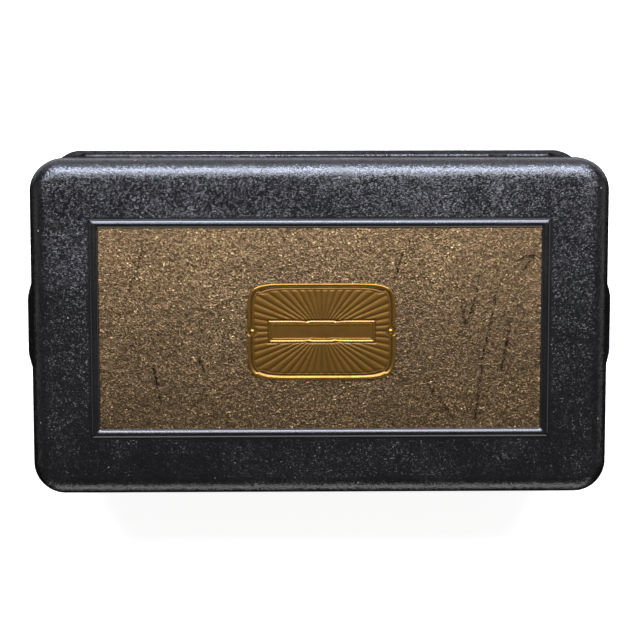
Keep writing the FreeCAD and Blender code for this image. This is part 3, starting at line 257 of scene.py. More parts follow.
rough_part = add(tree, "Math", {0: even.outputs["Fac"], 1: -0.85, 2: shrunk.outputs[0]},
                 operation="MULTIPLY_ADD")
bump = add(tree, "Bump", {"Height": rolling.outputs[0], "Strength": rough_part.outputs[0],
                          "Distance": WRINKLE_DEEP})
tilt = add(tree, "VectorMath", {0: wrinkle.outputs["Color"], 1: (-0.5, -0.5, -0.5)}, operation="ADD")
lean = add(tree, "Math", {0: rough_part.outputs[0], 1: WRINKLE_LEAN}, operation="MULTIPLY")
leaned = add(tree, "VectorMath", {0: tilt.outputs[0], "Scale": lean.outputs[0]}, operation="SCALE")
facet = add(tree, "VectorMath", {0: leaned.outputs[0], 1: bump.outputs[0]}, operation="ADD")
level = add(tree, "VectorMath", {0: facet.outputs[0]}, operation="NORMALIZE")
link(tree, level.outputs[0], shader, "Normal")
link(tree, level.outputs[0], shader, "Coat Normal")


def dress(finish, *names):
    """Give CAD nodes a finish."""
    for name in names:
        cad[name].data.materials.clear()
        cad[name].data.materials.append(finish)


dress(enamel, "case_front", "case_rear", "case_left", "case_right")

# --- Lid -----------------------------------------------------------------------------------------
# One deep pressing with rolled edges, a half-round bead mitred at its corners, and a swelling in
# the middle of each end for the fingers. Enamelled like the case, and inside the bead sprayed
# with bronze powder in lacquer over the same wrinkled coat.

LID_LOW, LID_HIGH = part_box("lid_shell")
MIDDLE_Y = LID_HIGH.y - 0.1315
HALF_X, HALF_Y, CORNER, ROLL, SHEET = 0.225, 0.1315, 0.025, 0.014, 0.0012
BEAD_X, BEAD_Y, BEAD_HALF, BEAD_TALL = 0.175, 0.082, 0.0036, 0.0024
TOP = LID_HIGH.z - BEAD_TALL
HEM = LID_LOW.z
LIP_HALF, LIP_EASE, LIP_OUT, LIP_TALL, LIP_FROM = 0.042, 0.022, 0.0045, 0.012, 0.2
COLUMNS, ROWS = 172, 80
MM = 0.001


def ease(value):
    """A smooth step from 0 to 1."""
    value = min(max(value, 0), 1)
    return value * value * (3 - 2 * value)


def round_off(x, y, half_x, half_y, corner):
    """Move a point of a sharp rectangle on to the same rectangle with round corners."""
    over_x, over_y = abs(x) - (half_x - corner), abs(y) - (half_y - corner)
    if corner <= 0 or over_x <= 0 or over_y <= 0:
        return x, y
    eighth = math.pi / 4
    turn = eighth * over_y / corner if over_x >= over_y else 2 * eighth - eighth * over_x / corner
    return (math.copysign(half_x - corner + corner * math.cos(turn), x),
            math.copysign(half_y - corner + corner * math.sin(turn), y))


def ring(half_x, half_y, corner, z):
    """One loop of the lid at a height, anticlockwise from its front right corner."""
    steps_x = [2 * i / COLUMNS - 1 for i in range(COLUMNS)]
    steps_y = [2 * i / ROWS - 1 for i in range(ROWS)]
    sharp = ([(half_x, half_y * s) for s in steps_y] + [(-half_x * s, half_y) for s in steps_x]
             + [(-half_x, -half_y * s) for s in steps_y] + [(half_x * s, -half_y) for s in steps_x])
    low = ease((HEM + LIP_TALL - z) / LIP_TALL)
    points = []
    for x, y in sharp:
        x, y = round_off(x, y, half_x, half_y, corner)
        if abs(x) > LIP_FROM:
            x += math.copysign(LIP_OUT * low * ease((LIP_HALF - abs(y)) / LIP_EASE), x)
        points.append(Vector((x, y + MIDDLE_Y, z)))
    return points


def bead_rise(across):
    """The bead's height at a distance from its centre line."""
    radius = (BEAD_HALF ** 2 + BEAD_TALL ** 2) / (2 * BEAD_TALL)
    return math.sqrt(max(radius ** 2 - across ** 2, 0)) - (radius - BEAD_TALL)


def rings_of_the_lid():
    """All loops from the panel's edge outwards, over the roll, round the hem and up inside."""
    loops = []
    for step in range(-8, 9):
        across = BEAD_HALF * math.sin(step / 8 * math.pi / 2)
        loops.append((BEAD_X + across, BEAD_Y + across, 0, TOP + bead_rise(across)))
    start = BEAD_X + BEAD_HALF
    for step in range(1, 15):
        inset = HALF_X - (start + (HALF_X - ROLL - start) * step / 14)
        narrow = (HALF_Y - BEAD_Y - HALF_X + BEAD_X) * (1 - step / 14)
        loops.append((HALF_X - inset, HALF_Y - inset - narrow, max(CORNER - inset, 0), TOP))
    for step in range(1, 13):
        turn = step / 12 * math.pi / 2
        inset = ROLL * (1 - math.sin(turn))
        loops.append((HALF_X - inset, HALF_Y - inset, CORNER - inset, TOP - ROLL * (1 - math.cos(turn))))
    for step in range(1, 9):
        loops.append((HALF_X, HALF_Y, CORNER, TOP - ROLL - (TOP - ROLL - HEM - 0.0004) * step / 8))
    for inset, rise in ((0.0004, 0), (0.0008, 0), (SHEET, 0.0004), (SHEET, 0.004), (SHEET, 0.008),
                        (SHEET, 0.012)):
        loops.append((HALF_X - inset, HALF_Y - inset, CORNER - inset, HEM + rise))
    for step in range(9):
        turn = (1 - step / 8) * math.pi / 2
        inset = SHEET + (ROLL - SHEET) * (1 - math.sin(turn))
        loops.append((HALF_X - inset, HALF_Y - inset, CORNER - inset,
                      TOP - SHEET - (ROLL - SHEET) * (1 - math.cos(turn))))
    loops.append((BEAD_X, BEAD_Y, 0, TOP - SHEET))
    return loops


def band(before, after):
    """A closed band of quads between two loops."""
    count = len(after)
    return [(before[i], after[i], after[(i + 1) % count], before[(i + 1) % count]) for i in range(count)]


def lid_mesh():
    """The lid as one closed mesh: panel grid, loops, and a second grid for the underside."""
    loops = rings_of_the_lid()
    across = [(BEAD_X - BEAD_HALF) * (2 * i / COLUMNS - 1) for i in range(COLUMNS + 1)]
    along = [(BEAD_Y - BEAD_HALF) * (2 * j / ROWS - 1) for j in range(ROWS + 1)]
    points, faces = [], []

    def grid(scale_x, scale_y, z, flip):
        """A field of quads; returns its edge as a loop in the same order as ring()."""
        first = len(points)
        points.extend(Vector((x * scale_x, y * scale_y + MIDDLE_Y, z)) for y in along for x in across)
        wide = COLUMNS + 1
        for j in range(ROWS):
            for i in range(COLUMNS):
                a = first + j * wide + i
                quad = (a, a + 1, a + 1 + wide, a + wide)
                faces.append(quad[::-1] if flip else quad)
        right = [first + j * wide + COLUMNS for j in range(ROWS)]
        rear = [first + ROWS * wide + COLUMNS - i for i in range(COLUMNS)]
        left = [first + (ROWS - j) * wide for j in range(ROWS)]
        front = [first + i for i in range(COLUMNS)]
        return right + rear + left + front

    before = grid(1, 1, TOP, False)
    panel_faces = len(faces)
    for loop in loops[1:]:
        first = len(points)
        points.extend(ring(*loop))
        after = list(range(first, len(points)))
        faces.extend(band(before, after))
        before = after
    inner = grid(BEAD_X / across[-1] * 0.999, BEAD_Y / along[-1] * 0.999, TOP - SHEET, True)
    faces.extend(band(before, inner))
    return surface("lid_pressing", points, faces), panel_faces


def dent(mesh, depth):
    """Lift and sink the top by a smooth random amount, as a panel that has been leaned on."""
    for point in mesh.vertices:
        top = ease((point.co.z - (TOP - ROLL)) / ROLL)
        slow, quick = noise.noise(point.co * 14), noise.noise(point.co * 34 + Vector((5, 3, 1)))
        point.co.z -= depth * top * (0.5 + 0.3 * slow + 0.2 * quick)


def attribute(mesh, name, amount):
    """Store a number for each point of a mesh, for a material to read."""
    made = mesh.attributes.new(name, "FLOAT", "POINT")
    made.data.foreach_set("value", [amount(point.co) for point in mesh.vertices])


def lid_wear(place):
    """How far the enamel is rubbed: the hem, the bead's crest and the corners of the roll."""
    x, y = abs(place.x), abs(place.y - MIDDLE_Y)
    hem = ease((HEM + 0.0022 - place.z) / 0.0022) * 0.62
    crest = ease((place.z - TOP - BEAD_TALL * 0.75) / (BEAD_TALL * 0.25)) * 0.16
    corner = ease((x + y - HALF_X - HALF_Y + 0.03) / 0.02) * ease((TOP - place.z) / 0.008)
    corner *= 0.34 if place.x > 0 and place.y > MIDDLE_Y else 0.2
    ends = ease((x - HALF_X + 0.001) / 0.001) * 0.22 * noise.noise(place * 60)
    rim = ease((place.y - MIDDLE_Y - HALF_Y + 0.0012) / 0.0006)
    rim *= ease((place.z - TOP + ROLL + 0.003) / 0.002)
    rim *= 0.38 + 0.25 * noise.noise(place * 30)
    return max(hem, crest, corner, ends, rim, 0)


mesh, panel_faces = lid_mesh()
dent(mesh, 0.00055)
attribute(mesh, "wear", lid_wear)


def lid_even(place):
    """Where the coat is even: on the bead, where it was sprayed thin, and at the hem."""
    x, y = abs(place.x), abs(place.y - MIDDLE_Y)
    off_bead = abs(max(x - BEAD_X, y - BEAD_Y))
    return max(ease((BEAD_HALF + 0.0012 - off_bead) / 0.0012), ease((HEM + 0.004 - place.z) / 0.004))


attribute(mesh, "even", lid_even)

# Bronze powder sparkles in grains of brown and old gold, lies in lumps, and is dark where it is
# blotted or scratched through. Sizes are in millimetres. Real powder is far finer than its flakes
# and flecks here, which are as coarse as they must be to show.
FLAKE, FLECK, LUMP, STREAK, BLOT = 1.05, 1.1, 5, 3.5, 9
POWDER_BEND, POWDER_DEEP, POWDER_LEAN = 0.0016, 0.00026, 0.2
bronze, tree, shader = finish_of("bronze_powder_lacquer", Metallic=1)
spot = add(tree, "TexCoord").outputs["Object"]
warp = add(tree, "TexNoise", {"Vector": spot, "Scale": per_metre(3), "Detail": 3})
bent = add(tree, "VectorMath", {0: warp.outputs["Color"], 1: [POWDER_BEND] * 3, 2: spot},
           operation="MULTIPLY_ADD")
fleck = add(tree, "TexNoise", {"Vector": bent.outputs[0], "Scale": per_metre(FLECK), "Detail": 5,
                               "Roughness": 0.7})
lump = add(tree, "TexNoise", {"Vector": spot, "Scale": per_metre(LUMP), "Detail": 3})
flake = add(tree, "TexVoronoi", {"Vector": bent.outputs[0], "Scale": per_metre(FLAKE)}, feature="F1")
drift = add(tree, "TexNoise", {"Vector": spot, "Scale": per_metre(70), "Detail": 3})
tone = add(tree, "MapRange", {"Value": fleck.outputs["Fac"], "From Min": 0.38, "From Max": 0.62})
base = add(tree, "Mix", {0: tone.outputs[0], 6: linear("#4e3d2a"), 7: linear("#9b7f5a")},
           data_type="RGBA")
chosen = add(tree, "SeparateColor", {"Color": flake.outputs["Color"]})
shiny = add(tree, "MapRange", {"Value": chosen.outputs[0], "From Min": 0.9, "From Max": 1.0})
golden = add(tree, "Mix", {0: shiny.outputs[0], 6: base.outputs[2], 7: linear("#d0b07c")},
             data_type="RGBA")
dull = add(tree, "MapRange", {"Value": drift.outputs["Fac"], "From Min": 0.35, "From Max": 0.65,
                              "To Min": 0, "To Max": 0.5})
faded = add(tree, "Mix", {0: dull.outputs[0], 6: golden.outputs[2], 7: linear("#6c5840")},
            data_type="RGBA")
streak = add(tree, "TexNoise", {"Vector": spot, "Scale": per_metre(STREAK), "Detail": 6,
                                "Roughness": 0.75})
rub = add(tree, "Attribute", attribute_name="scratched")
deep = add(tree, "Math", {0: rub.outputs["Fac"], 1: 0.5, 2: streak.outputs["Fac"]},
           operation="MULTIPLY_ADD")
scratched = add(tree, "MapRange", {"Value": deep.outputs[0], "From Min": 0.76, "From Max": 1.0})
blot = add(tree, "TexNoise", {"Vector": spot, "Scale": per_metre(BLOT), "Detail": 4, "Roughness": 0.7,
                              "Distortion": 1.2})
blot_dot = add(tree, "MapRange", {"Value": blot.outputs["Fac"], "From Min": 0.66, "From Max": 0.74})
marks = add(tree, "Math", {0: scratched.outputs[0], 1: blot_dot.outputs[0]}, operation="MAXIMUM")
broken = add(tree, "MapRange", {"Value": fleck.outputs["Fac"], "From Min": 0.8, "From Max": 0.5})
ragged = add(tree, "Math", {0: marks.outputs[0], 1: broken.outputs[0]}, operation="MULTIPLY")
marked = add(tree, "Mix", {0: ragged.outputs[0], 6: faded.outputs[2], 7: linear("#241a14")},
             data_type="RGBA")
chip = add(tree, "Attribute", attribute_name="chipped")
chip_sum = add(tree, "Math", {0: chip.outputs["Fac"], 1: fleck.outputs["Fac"]}, operation="ADD")
chip_on = add(tree, "MapRange", {"Value": chip_sum.outputs[0], "From Min": 1.0, "From Max": 1.3})
chipped = add(tree, "Mix", {0: chip_on.outputs[0], 6: marked.outputs[2], 7: linear("#9a6a60")},
              data_type="RGBA")
link(tree, chipped.outputs[2], shader, "Base Color")
shine = add(tree, "MapRange", {"Value": fleck.outputs["Fac"], "From Min": 0.3, "From Max": 0.7,
                               "To Min": 0.38, "To Max": 0.29})
link(tree, shine.outputs[0], shader, "Roughness")
grit = add(tree, "Math", {0: flake.outputs["Distance"], 1: 0.45, 2: fleck.outputs["Fac"]},
           operation="MULTIPLY_ADD")
lumpy = add(tree, "Math", {0: lump.outputs["Fac"], 1: 1.3, 2: grit.outputs[0]}, operation="MULTIPLY_ADD")
bump = add(tree, "Bump", {"Height": lumpy.outputs[0], "Strength": 1, "Distance": POWDER_DEEP})
tilt = add(tree, "VectorMath", {0: flake.outputs["Color"], 1: (-0.5, -0.5, -0.5)}, operation="ADD")
facet = add(tree, "VectorMath", {0: tilt.outputs[0], 1: (POWDER_LEAN, POWDER_LEAN, 0),
                                 2: bump.outputs[0]},
            operation="MULTIPLY_ADD")
level = add(tree, "VectorMath", {0: facet.outputs[0]}, operation="NORMALIZE")
link(tree, level.outputs[0], shader, "Normal")

# Scratches on the panel, as runs of points in millimetres from its middle, and their half width.
SCRATCH_WIDE = 3.2
SCRATCHES = (((137, 31), (133, 8), (127, -20), (121, -72)), ((123, 34), (117, 12), (106, -8)),
             ((109, 26), (112, 4)), ((150, 52), (166, 58), (158, 46)), ((84, -44), (96, -60), (104, -72)),
             ((-148, 30), (-141, 48), (-137, 66)), ((-96, -20), (-90, -34)), ((148, 6), (141, -34)),
             ((-52, 10), (-46, -2)), ((64, 60), (58, 38)), ((-130, -30), (-124, -58)))


def panel_scratches(place):
    """How deeply the bronze is scratched at a place, from the nearest run."""
    here = Vector((place.x / MM, (place.y - MIDDLE_Y) / MM))
    deepest = 0
    for run in SCRATCHES:
        for start, end in zip(run, run[1:]):
            start, end = Vector(start), Vector(end)
            along = min(max((here - start).dot(end - start) / (end - start).length_squared, 0), 1)
            deepest = max(deepest, 1 - (here - start.lerp(end, along)).length / SCRATCH_WIDE)
    return deepest


def panel_chip(place):
    """A knock on the front run of the bead that took the coats off down to the primer."""
    away = math.hypot((place.x - 0.079) / 0.009, (place.y - MIDDLE_Y + BEAD_Y - 0.002) / 0.0038)
    return ease(1.4 - away)


attribute(mesh, "scratched", panel_scratches)
attribute(mesh, "chipped", panel_chip)
mesh.materials.append(enamel)
mesh.materials.append(bronze)
# The bead's foot is left sharp on both sides, so that the panel meets it at a clean line.
mesh.polygons.foreach_set("material_index", [int(i < panel_faces) for i in range(len(mesh.polygons))])
work = bmesh.new()
work.from_mesh(mesh)
for edge in work.edges:
    foot = all(abs(point.co.z - TOP) < 0.0008 for point in edge.verts) and len(edge.link_faces) == 2
    if foot and edge.calc_face_angle() > math.radians(18):
        edge.smooth = False
work.to_mesh(mesh)
work.free()
lid = put("lid_pressing", mesh)
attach(lid, "lid")
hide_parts("lid_shell")

# --- Badge ---------------------------------------------------------------------------------------
# A plate struck from brass sheet, with a crowned outline, a rolled rim, reeded rays and a blank
# framed bar. Brown patina lies in the hollows, and the high parts are rubbed to old gold.

BADGE_LOW, BADGE_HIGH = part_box("badge_plate")
BADGE_CENTRE = (BADGE_LOW + BADGE_HIGH) / 2
BADGE_HALF_X, BADGE_HALF_Y = (BADGE_HIGH.x - BADGE_LOW.x) / 2, (BADGE_HIGH.y - BADGE_LOW.y) / 2
BADGE_STEP, BADGE_POWER = 0.0005, 7
RIVET_X = 0.0537


def hump(value, low, high):
    """A round ridge between two places: 0 outside, 1 in the middle."""
    return math.sin(math.pi * (value - low) / (high - low)) if low < value < high else 0


def badge_relief(x, y):
    """Height of the struck relief above the lid in millimetres, x and y from the middle in mm.

    The rim and its groove lie over the rays, the framed bar over those, the rivets' seats on top.
    """
    edge = min(BADGE_HALF_X / MM - abs(x), BADGE_HALF_Y / MM - abs(y))
    bar = min(41 - abs(x), 8.4 - abs(y))
    height = 1.05
    rays = 0.34 * abs(math.sin(24 * math.atan2(y * 1.35, x))) ** 0.7
    height += rays * ease((edge - 4.6) / 1.2) * ease((-bar - 0.6) / 0.8)
    height += 0.85 * hump(edge, -0.9, 2.8) ** 0.7
    height += 0.3 * hump(edge, 3.5, 4.7) - 0.25 * hump(edge, 2.7, 3.6)
    if bar > -0.7:
        height = 0.9
    if bar > 0:
        height = 1.2 + 0.75 * hump(bar, -0.4, 1.7) ** 0.6 + 0.35 * hump(bar, 2.1, 3.1)
    boss = math.hypot(abs(x) - RIVET_X / MM, y)
    if boss < 4.2:
        flat = ease((4.2 - boss) / 0.8)
        height = height * (1 - flat) + 1.12 * flat
    return height


def badge_mesh():
    """A fine grid bent to the plate's outline and lifted by the relief, with a rim wall."""
    wide = round(2 * BADGE_HALF_X / BADGE_STEP)
    deep = round(2 * BADGE_HALF_Y / BADGE_STEP)
    points, heights = [], []
    for j in range(deep + 1):
        for i in range(wide + 1):
            u, v = 2 * i / wide - 1, 2 * j / deep - 1
            square = max(abs(u), abs(v))
            crowned = (abs(u) ** BADGE_POWER + abs(v) ** BADGE_POWER) ** (1 / BADGE_POWER)
            shrink = square / crowned if square > 1e-5 else 1
            rise = badge_relief(u * BADGE_HALF_X / MM, v * BADGE_HALF_Y / MM)
            points.append((BADGE_CENTRE.x + u * shrink * BADGE_HALF_X,
                           BADGE_CENTRE.y + v * shrink * BADGE_HALF_Y, TOP + rise * MM))
            heights.append(rise)
    row = wide + 1
    faces = [(a, a + 1, a + 1 + row, a + row)
             for j in range(deep) for a in range(j * row, j * row + wide)]
    edge = (list(range(wide)) + [j * row + wide for j in range(deep)]
            + [deep * row + wide - i for i in range(wide)] + [(deep - j) * row for j in range(deep)])
    first = len(points)
    points.extend((points[i][0], points[i][1], TOP - 0.0001) for i in edge)
    foot = list(range(first, len(points)))
    faces.extend(band(edge, foot))
    faces.append(tuple(reversed(foot)))
    mesh = surface("badge_relief", points, faces, smooth=False)
    mesh.polygons.foreach_set("use_smooth", [len(face.vertices) == 4 for face in mesh.polygons])
    made = mesh.attributes.new("relief", "FLOAT", "POINT")
    made.data.foreach_set("value", heights + [0.6] * len(foot))
    return mesh


# Patina: brown and dull in the hollows, old gold and smoother on whatever stands high.
brass, tree, shader = finish_of("patinated_brass", Metallic=0.9, Coat_Weight=0.15, Coat_Roughness=0.25)
spot = add(tree, "TexCoord").outputs["Object"]
stain = add(tree, "TexNoise", {"Vector": spot, "Scale": per_metre(11), "Detail": 6, "Roughness": 0.6})
high = add(tree, "Attribute", attribute_name="relief")
lift = add(tree, "Math", {0: stain.outputs["Fac"], 1: 0.5, 2: high.outputs["Fac"]},
           operation="MULTIPLY_ADD")
rubbed = add(tree, "MapRange", {"Value": lift.outputs[0], "From Min": 1.2, "From Max": 1.95})
tone = add(tree, "Mix", {0: rubbed.outputs[0], 6: linear("#442c0d"), 7: linear("#8c6526")},
           data_type="RGBA")
link(tree, tone.outputs[2], shader, "Base Color")
dull = add(tree, "MapRange", {"Value": lift.outputs[0], "From Min": 1.2, "From Max": 1.95, "To Min": 0.55,
                              "To Max": 0.3})
link(tree, dull.outputs[0], shader, "Roughness")
pit = add(tree, "TexNoise", {"Vector": spot, "Scale": per_metre(0.8), "Detail": 3})
bump = add(tree, "Bump", {"Height": pit.outputs["Fac"], "Strength": 0.12, "Distance": 0.0003})
link(tree, bump.outputs[0], shader, "Normal")
mesh = badge_mesh()
mesh.materials.append(brass)
badge = put("badge_relief", mesh)
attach(badge, "lid")
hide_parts("badge_plate")

# Worn brass: yellow and bright where it is handled, with brown, dull stains between.
bright_brass, tree, shader = finish_of("worn_brass", Metallic=1)
spot = add(tree, "TexCoord").outputs["Object"]
stain = add(tree, "TexNoise", {"Vector": spot, "Scale": per_metre(6), "Detail": 6, "Roughness": 0.65})
tone = add(tree, "Mix", {0: stain.outputs["Fac"], 6: linear("#6b4f20"), 7: linear("#b0893f")},
           data_type="RGBA")
link(tree, tone.outputs[2], shader, "Base Color")
dull = add(tree, "MapRange", {"Value": stain.outputs["Fac"], "To Min": 0.2, "To Max": 0.5})
link(tree, dull.outputs[0], shader, "Roughness")
dress(bright_brass, "badge_rivets")

# --- Base ----------------------------------------------------------------------------------------
# A flat steel plate with two rows of vents closes the case, dipped in thin black paint that pools
# and thins. Plated screws hold it, and hard rubber feet stand in the flange's corners.


def worked(name, dark, light, grain, rough, bump=0.0, along=(1, 1, 1), **sockets):
    """A finish whose colour and gloss wander between two ends, with an optional fine relief.

    Grain and bump are in millimetres, no finer than will show. Along stretches the pattern where
    the surface is brushed or fibrous.
    """
    made, tree, shader = finish_of(name, **sockets)
    spot = add(tree, "TexCoord").outputs["Object"]
    stretched = add(tree, "Mapping", {"Vector": spot, "Scale": along})
    fine = add(tree, "TexNoise", {"Vector": stretched.outputs[0], "Scale": per_metre(grain), "Detail": 6,
                                  "Roughness": 0.65})
    broad = add(tree, "TexNoise", {"Vector": spot, "Scale": per_metre(grain * 9), "Detail": 4})
    both = add(tree, "Math", {0: fine.outputs["Fac"], 1: broad.outputs["Fac"]}, operation="ADD")
    swing = add(tree, "MapRange", {"Value": both.outputs[0], "From Min": 0.7, "From Max": 1.3})
    tone = add(tree, "Mix", {0: swing.outputs[0], 6: linear(dark), 7: linear(light)}, data_type="RGBA")
    link(tree, tone.outputs[2], shader, "Base Color")
    dull = add(tree, "MapRange", {"Value": both.outputs[0], "From Min": 0.7, "From Max": 1.3,
                                  "To Min": rough + 0.1, "To Max": rough - 0.1})
    link(tree, dull.outputs[0], shader, "Roughness")
    if bump:
        lift = add(tree, "Bump", {"Height": fine.outputs["Fac"], "Distance": bump * MM})
        link(tree, lift.outputs[0], shader, "Normal")
    return made


def softened(node, finish, width, body="case"):
    """A copy of a node with its sharp edges rounded by a width in millimetres."""
    mesh = cad[node].data.copy()
    mesh.name = node + "_softened"
    work = bmesh.new()
    work.from_mesh(mesh)
    bmesh.ops.remove_doubles(work, verts=work.verts, dist=0.002 * MM)
    bmesh.ops.dissolve_limit(work, angle_limit=math.radians(0.5), verts=work.verts, edges=work.edges)
    work.to_mesh(mesh)
    work.free()
    mesh.polygons.foreach_set("use_smooth", [True] * len(mesh.polygons))
    mesh.materials.clear()
    mesh.materials.append(finish)
    made = put(node + "_softened", mesh)
    rounding = made.modifiers.new("rounding", "BEVEL")
    rounding.width = width * MM
    rounding.segments = 2
    rounding.limit_method = "ANGLE"
    rounding.angle_limit = math.radians(32)
    facing = made.modifiers.new("facing", "WEIGHTED_NORMAL")
    facing.weight = 100
    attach(made, body)
    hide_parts(node)
    return made


# Thin paint has a soft gloss that pools and thins; dull plate is a cold grey; rubber is matt.
thin_black = worked("thin_black_paint", "#0e0d0d", "#201d1c", 1.6, 0.42, 0.03, IOR=1.5, Coat_Weight=0.2)
dress(thin_black, "bottom_plate")
dull_steel = worked("dull_plated_steel", "#55565a", "#8b8b8d", 1.2, 0.38, 0.02, Metallic=1)
dress(dull_steel, "base_screws")
hard_rubber = worked("hardened_rubber", "#0c0b0b", "#1f1d1c", 0.8, 0.75, 0.06)
softened("rubber_feet", hard_rubber, 0.6)

# --- Dial plate and window -----------------------------------------------------------------------
# An arched plate of lacquered brass, its edge rolled and its face stippled, screwed to the front
# over a curved window. The window is a slip of clear celluloid that has yellowed.

PLATE_LOW, PLATE_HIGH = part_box("dial_escutcheon")
# Lacquer keeps the brass yellow between brown stains, and lays a soft shine over both.
plate_brass = worked("lacquered_brass", "#4d3a1a", "#a88546", 3.2, 0.34, 0.05, Metallic=1,
                     Coat_Weight=0.3, Coat_Roughness=0.2)
softened("dial_escutcheon", plate_brass, 0.6)
dress(bright_brass, "escutcheon_screws")


def arch(half, low, shoulder, steps=40):
    """The plate's outline as (x, z): up the right side, over the arch and down the left side."""
    turns = [math.pi * step / steps for step in range(steps + 1)]
    return ([(half, low)] + [(half * math.cos(turn), shoulder + half * math.sin(turn)) for turn in turns]
            + [(-half, low)])


def raised_line(name, path, closed, width, rise, y):
    """A half-round bead that follows a path of (x, z) points on the front of the plate."""
    line = bpy.data.curves.new(name, "CURVE")
    line.dimensions = "3D"
    line.bevel_depth = width / 2
    line.bevel_resolution = 3
    spline = line.splines.new("POLY")
    spline.points.add(len(path) - 1)
    for point, (x, z) in zip(spline.points, path):
        point.co = (x, y - rise + width / 2, z, 1)
    spline.use_cyclic_u = closed
    line.materials.append(plate_brass)
    made = put(name, line)
    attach(made, "case")
    return made


PLATE_HALF = PLATE_HIGH.x
SHOULDER = PLATE_HIGH.z - PLATE_HALF
for index, inset in enumerate((0.0030, 0.0052)):
    raised_line(f"plate_bead_{index + 1}", arch(PLATE_HALF - inset, PLATE_LOW.z + inset, SHOULDER), True,
                0.0013, 0.0007, PLATE_LOW.y)
WINDOW_FAR, WINDOW_NEAR, WINDOW_TURN = 0.0358, 0.0232, 0.77
PULLEY_LOW, PULLEY_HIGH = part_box("belt_pulley_2")
AXIS_Z = (PULLEY_LOW.z + PULLEY_HIGH.z) / 2
rim = [(WINDOW_FAR * math.sin(turn), AXIS_Z + WINDOW_FAR * math.cos(turn))
       for turn in (WINDOW_TURN * (1 - step / 12) for step in range(25))]
rim += [(WINDOW_NEAR * math.sin(turn), AXIS_Z + WINDOW_NEAR * math.cos(turn))
        for turn in (WINDOW_TURN * (step / 12 - 1) for step in range(25))]
raised_line("window_bead", rim, True, 0.0015, 0.0008, PLATE_LOW.y)

# Clear, warm and glossy, with the slight haze of old film.
celluloid = worked("yellowed_celluloid", "#f4edd2", "#fdf9ea", 9, 0.1, IOR=1.5, Transmission_Weight=0.92)
dress(celluloid, "dial_window")

# --- Knobs and front controls --------------------------------------------------------------------
# The knobs are pressed from brown phenolic with a fluted skirt and a dished face, and grip brass
# shafts. The switch is a plated lever in a boxed body, and hexagon nuts clamp both controls.

# Phenolic: red-brown and near-black mottle under a polish that dust has dulled in places.
phenolic, tree, shader = finish_of("brown_phenolic", IOR=1.6, Coat_Weight=0.4, Coat_Roughness=0.12)
spot = add(tree, "TexCoord").outputs["Object"]
bent = add(tree, "TexNoise", {"Vector": spot, "Scale": per_metre(14), "Detail": 4, "Distortion": 1.8})
mottle = add(tree, "MapRange", {"Value": bent.outputs["Fac"], "From Min": 0.4, "From Max": 0.62})
tone = add(tree, "Mix", {0: mottle.outputs[0], 6: linear("#1c0d07"), 7: linear("#4a2413")},
           data_type="RGBA")
link(tree, tone.outputs[2], shader, "Base Color")
dust = add(tree, "TexNoise", {"Vector": spot, "Scale": per_metre(1.5), "Detail": 5})
dull = add(tree, "MapRange", {"Value": dust.outputs["Fac"], "To Min": 0.18, "To Max": 0.42})
link(tree, dull.outputs[0], shader, "Roughness")


def lathe(name, profile, middle, sides, flute=0.0, flutes=0, fluted=()):
    """A turned mesh about an axis along Y. Profile points are (radius, y); those whose index is in
    fluted have scallops cut in them."""
    points, faces = [], []
    for index, (radius, y) in enumerate(profile):
        for side in range(sides):
            turn = math.tau * side / sides
            cut = flute * (0.5 - 0.5 * math.cos(flutes * turn)) ** 2 if index in fluted else 0
            points.append((middle.x + (radius - cut) * math.sin(turn), y,
                           middle.z + (radius - cut) * math.cos(turn)))
    for row in range(len(profile) - 1):
        for side in range(sides):
            after = (side + 1) % sides
            faces.append((row * sides + side, row * sides + after, (row + 1) * sides + after,
                          (row + 1) * sides + side))
    faces.append(tuple(range(sides - 1, -1, -1)))
    faces.append(tuple((len(profile) - 1) * sides + side for side in range(sides)))
    return surface(name, points, faces)


# Ivory celluloid: cream, glossy and faintly clouded.
ivory = worked("ivory_celluloid", "#c9b98a", "#e6dab2", 12, 0.35, IOR=1.5)


def knob(name, node, body):
    """A fluted knob in a node's space: dished face, round shoulder, skirt and hollow back."""
    low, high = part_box(node)
    middle, radius, front, rear = (low + high) / 2, (high.x - low.x) / 2, low.y, high.y
    inner, depth = radius * 0.62, 0.005
    face = ((0.05, 0.0016), (0.4, 0.0013), (0.6, 0.0006), (0.68, 0), (0.74, 0.0001), (0.82, 0.0009),
            (0.87, 0.0022), (0.885, 0.005))
    skirt = ((0.895, 0.0050), (0.91, 0.0042), (0.985, 0.0034), (1, 0.0026), (1, 0.0006), (0.98, 0))
    profile = [(radius * share, front + back) for share, back in face]
    profile += [(radius * share, rear - ahead) for share, ahead in skirt]
    profile += [(inner, rear), (inner, rear - depth)]
    mesh = lathe(name, profile, middle, 192, 0.0011, 24, (5, 6, 7, 8))
    mesh.materials.append(phenolic)
    made = put(name, mesh)
    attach(made, body)
    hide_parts(node)
    half, top, low_end, high_end = 0.0006, front + 0.0001, radius * 0.45, radius * 0.75
    corners = ((-half, low_end), (half, low_end), (half, high_end), (-half, high_end))
    mark = surface(name + "_mark", [(middle.x + u, y, middle.z + v)
                                    for y in (top + 0.0006, top - 0.0001) for u, v in corners],
                   [(3, 2, 1, 0), (4, 5, 6, 7), (0, 1, 5, 4), (1, 2, 6, 5), (2, 3, 7, 6), (3, 0, 4, 7)],
                   smooth=False)
    mark.materials.append(ivory)
    pointer = put(name + "_mark", mark)
    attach(pointer, body)


knob("tuning_knob_fluted", "tuning_knob", "tuning_drive")
knob("volume_knob_fluted", "volume_knob", "volume_drive")
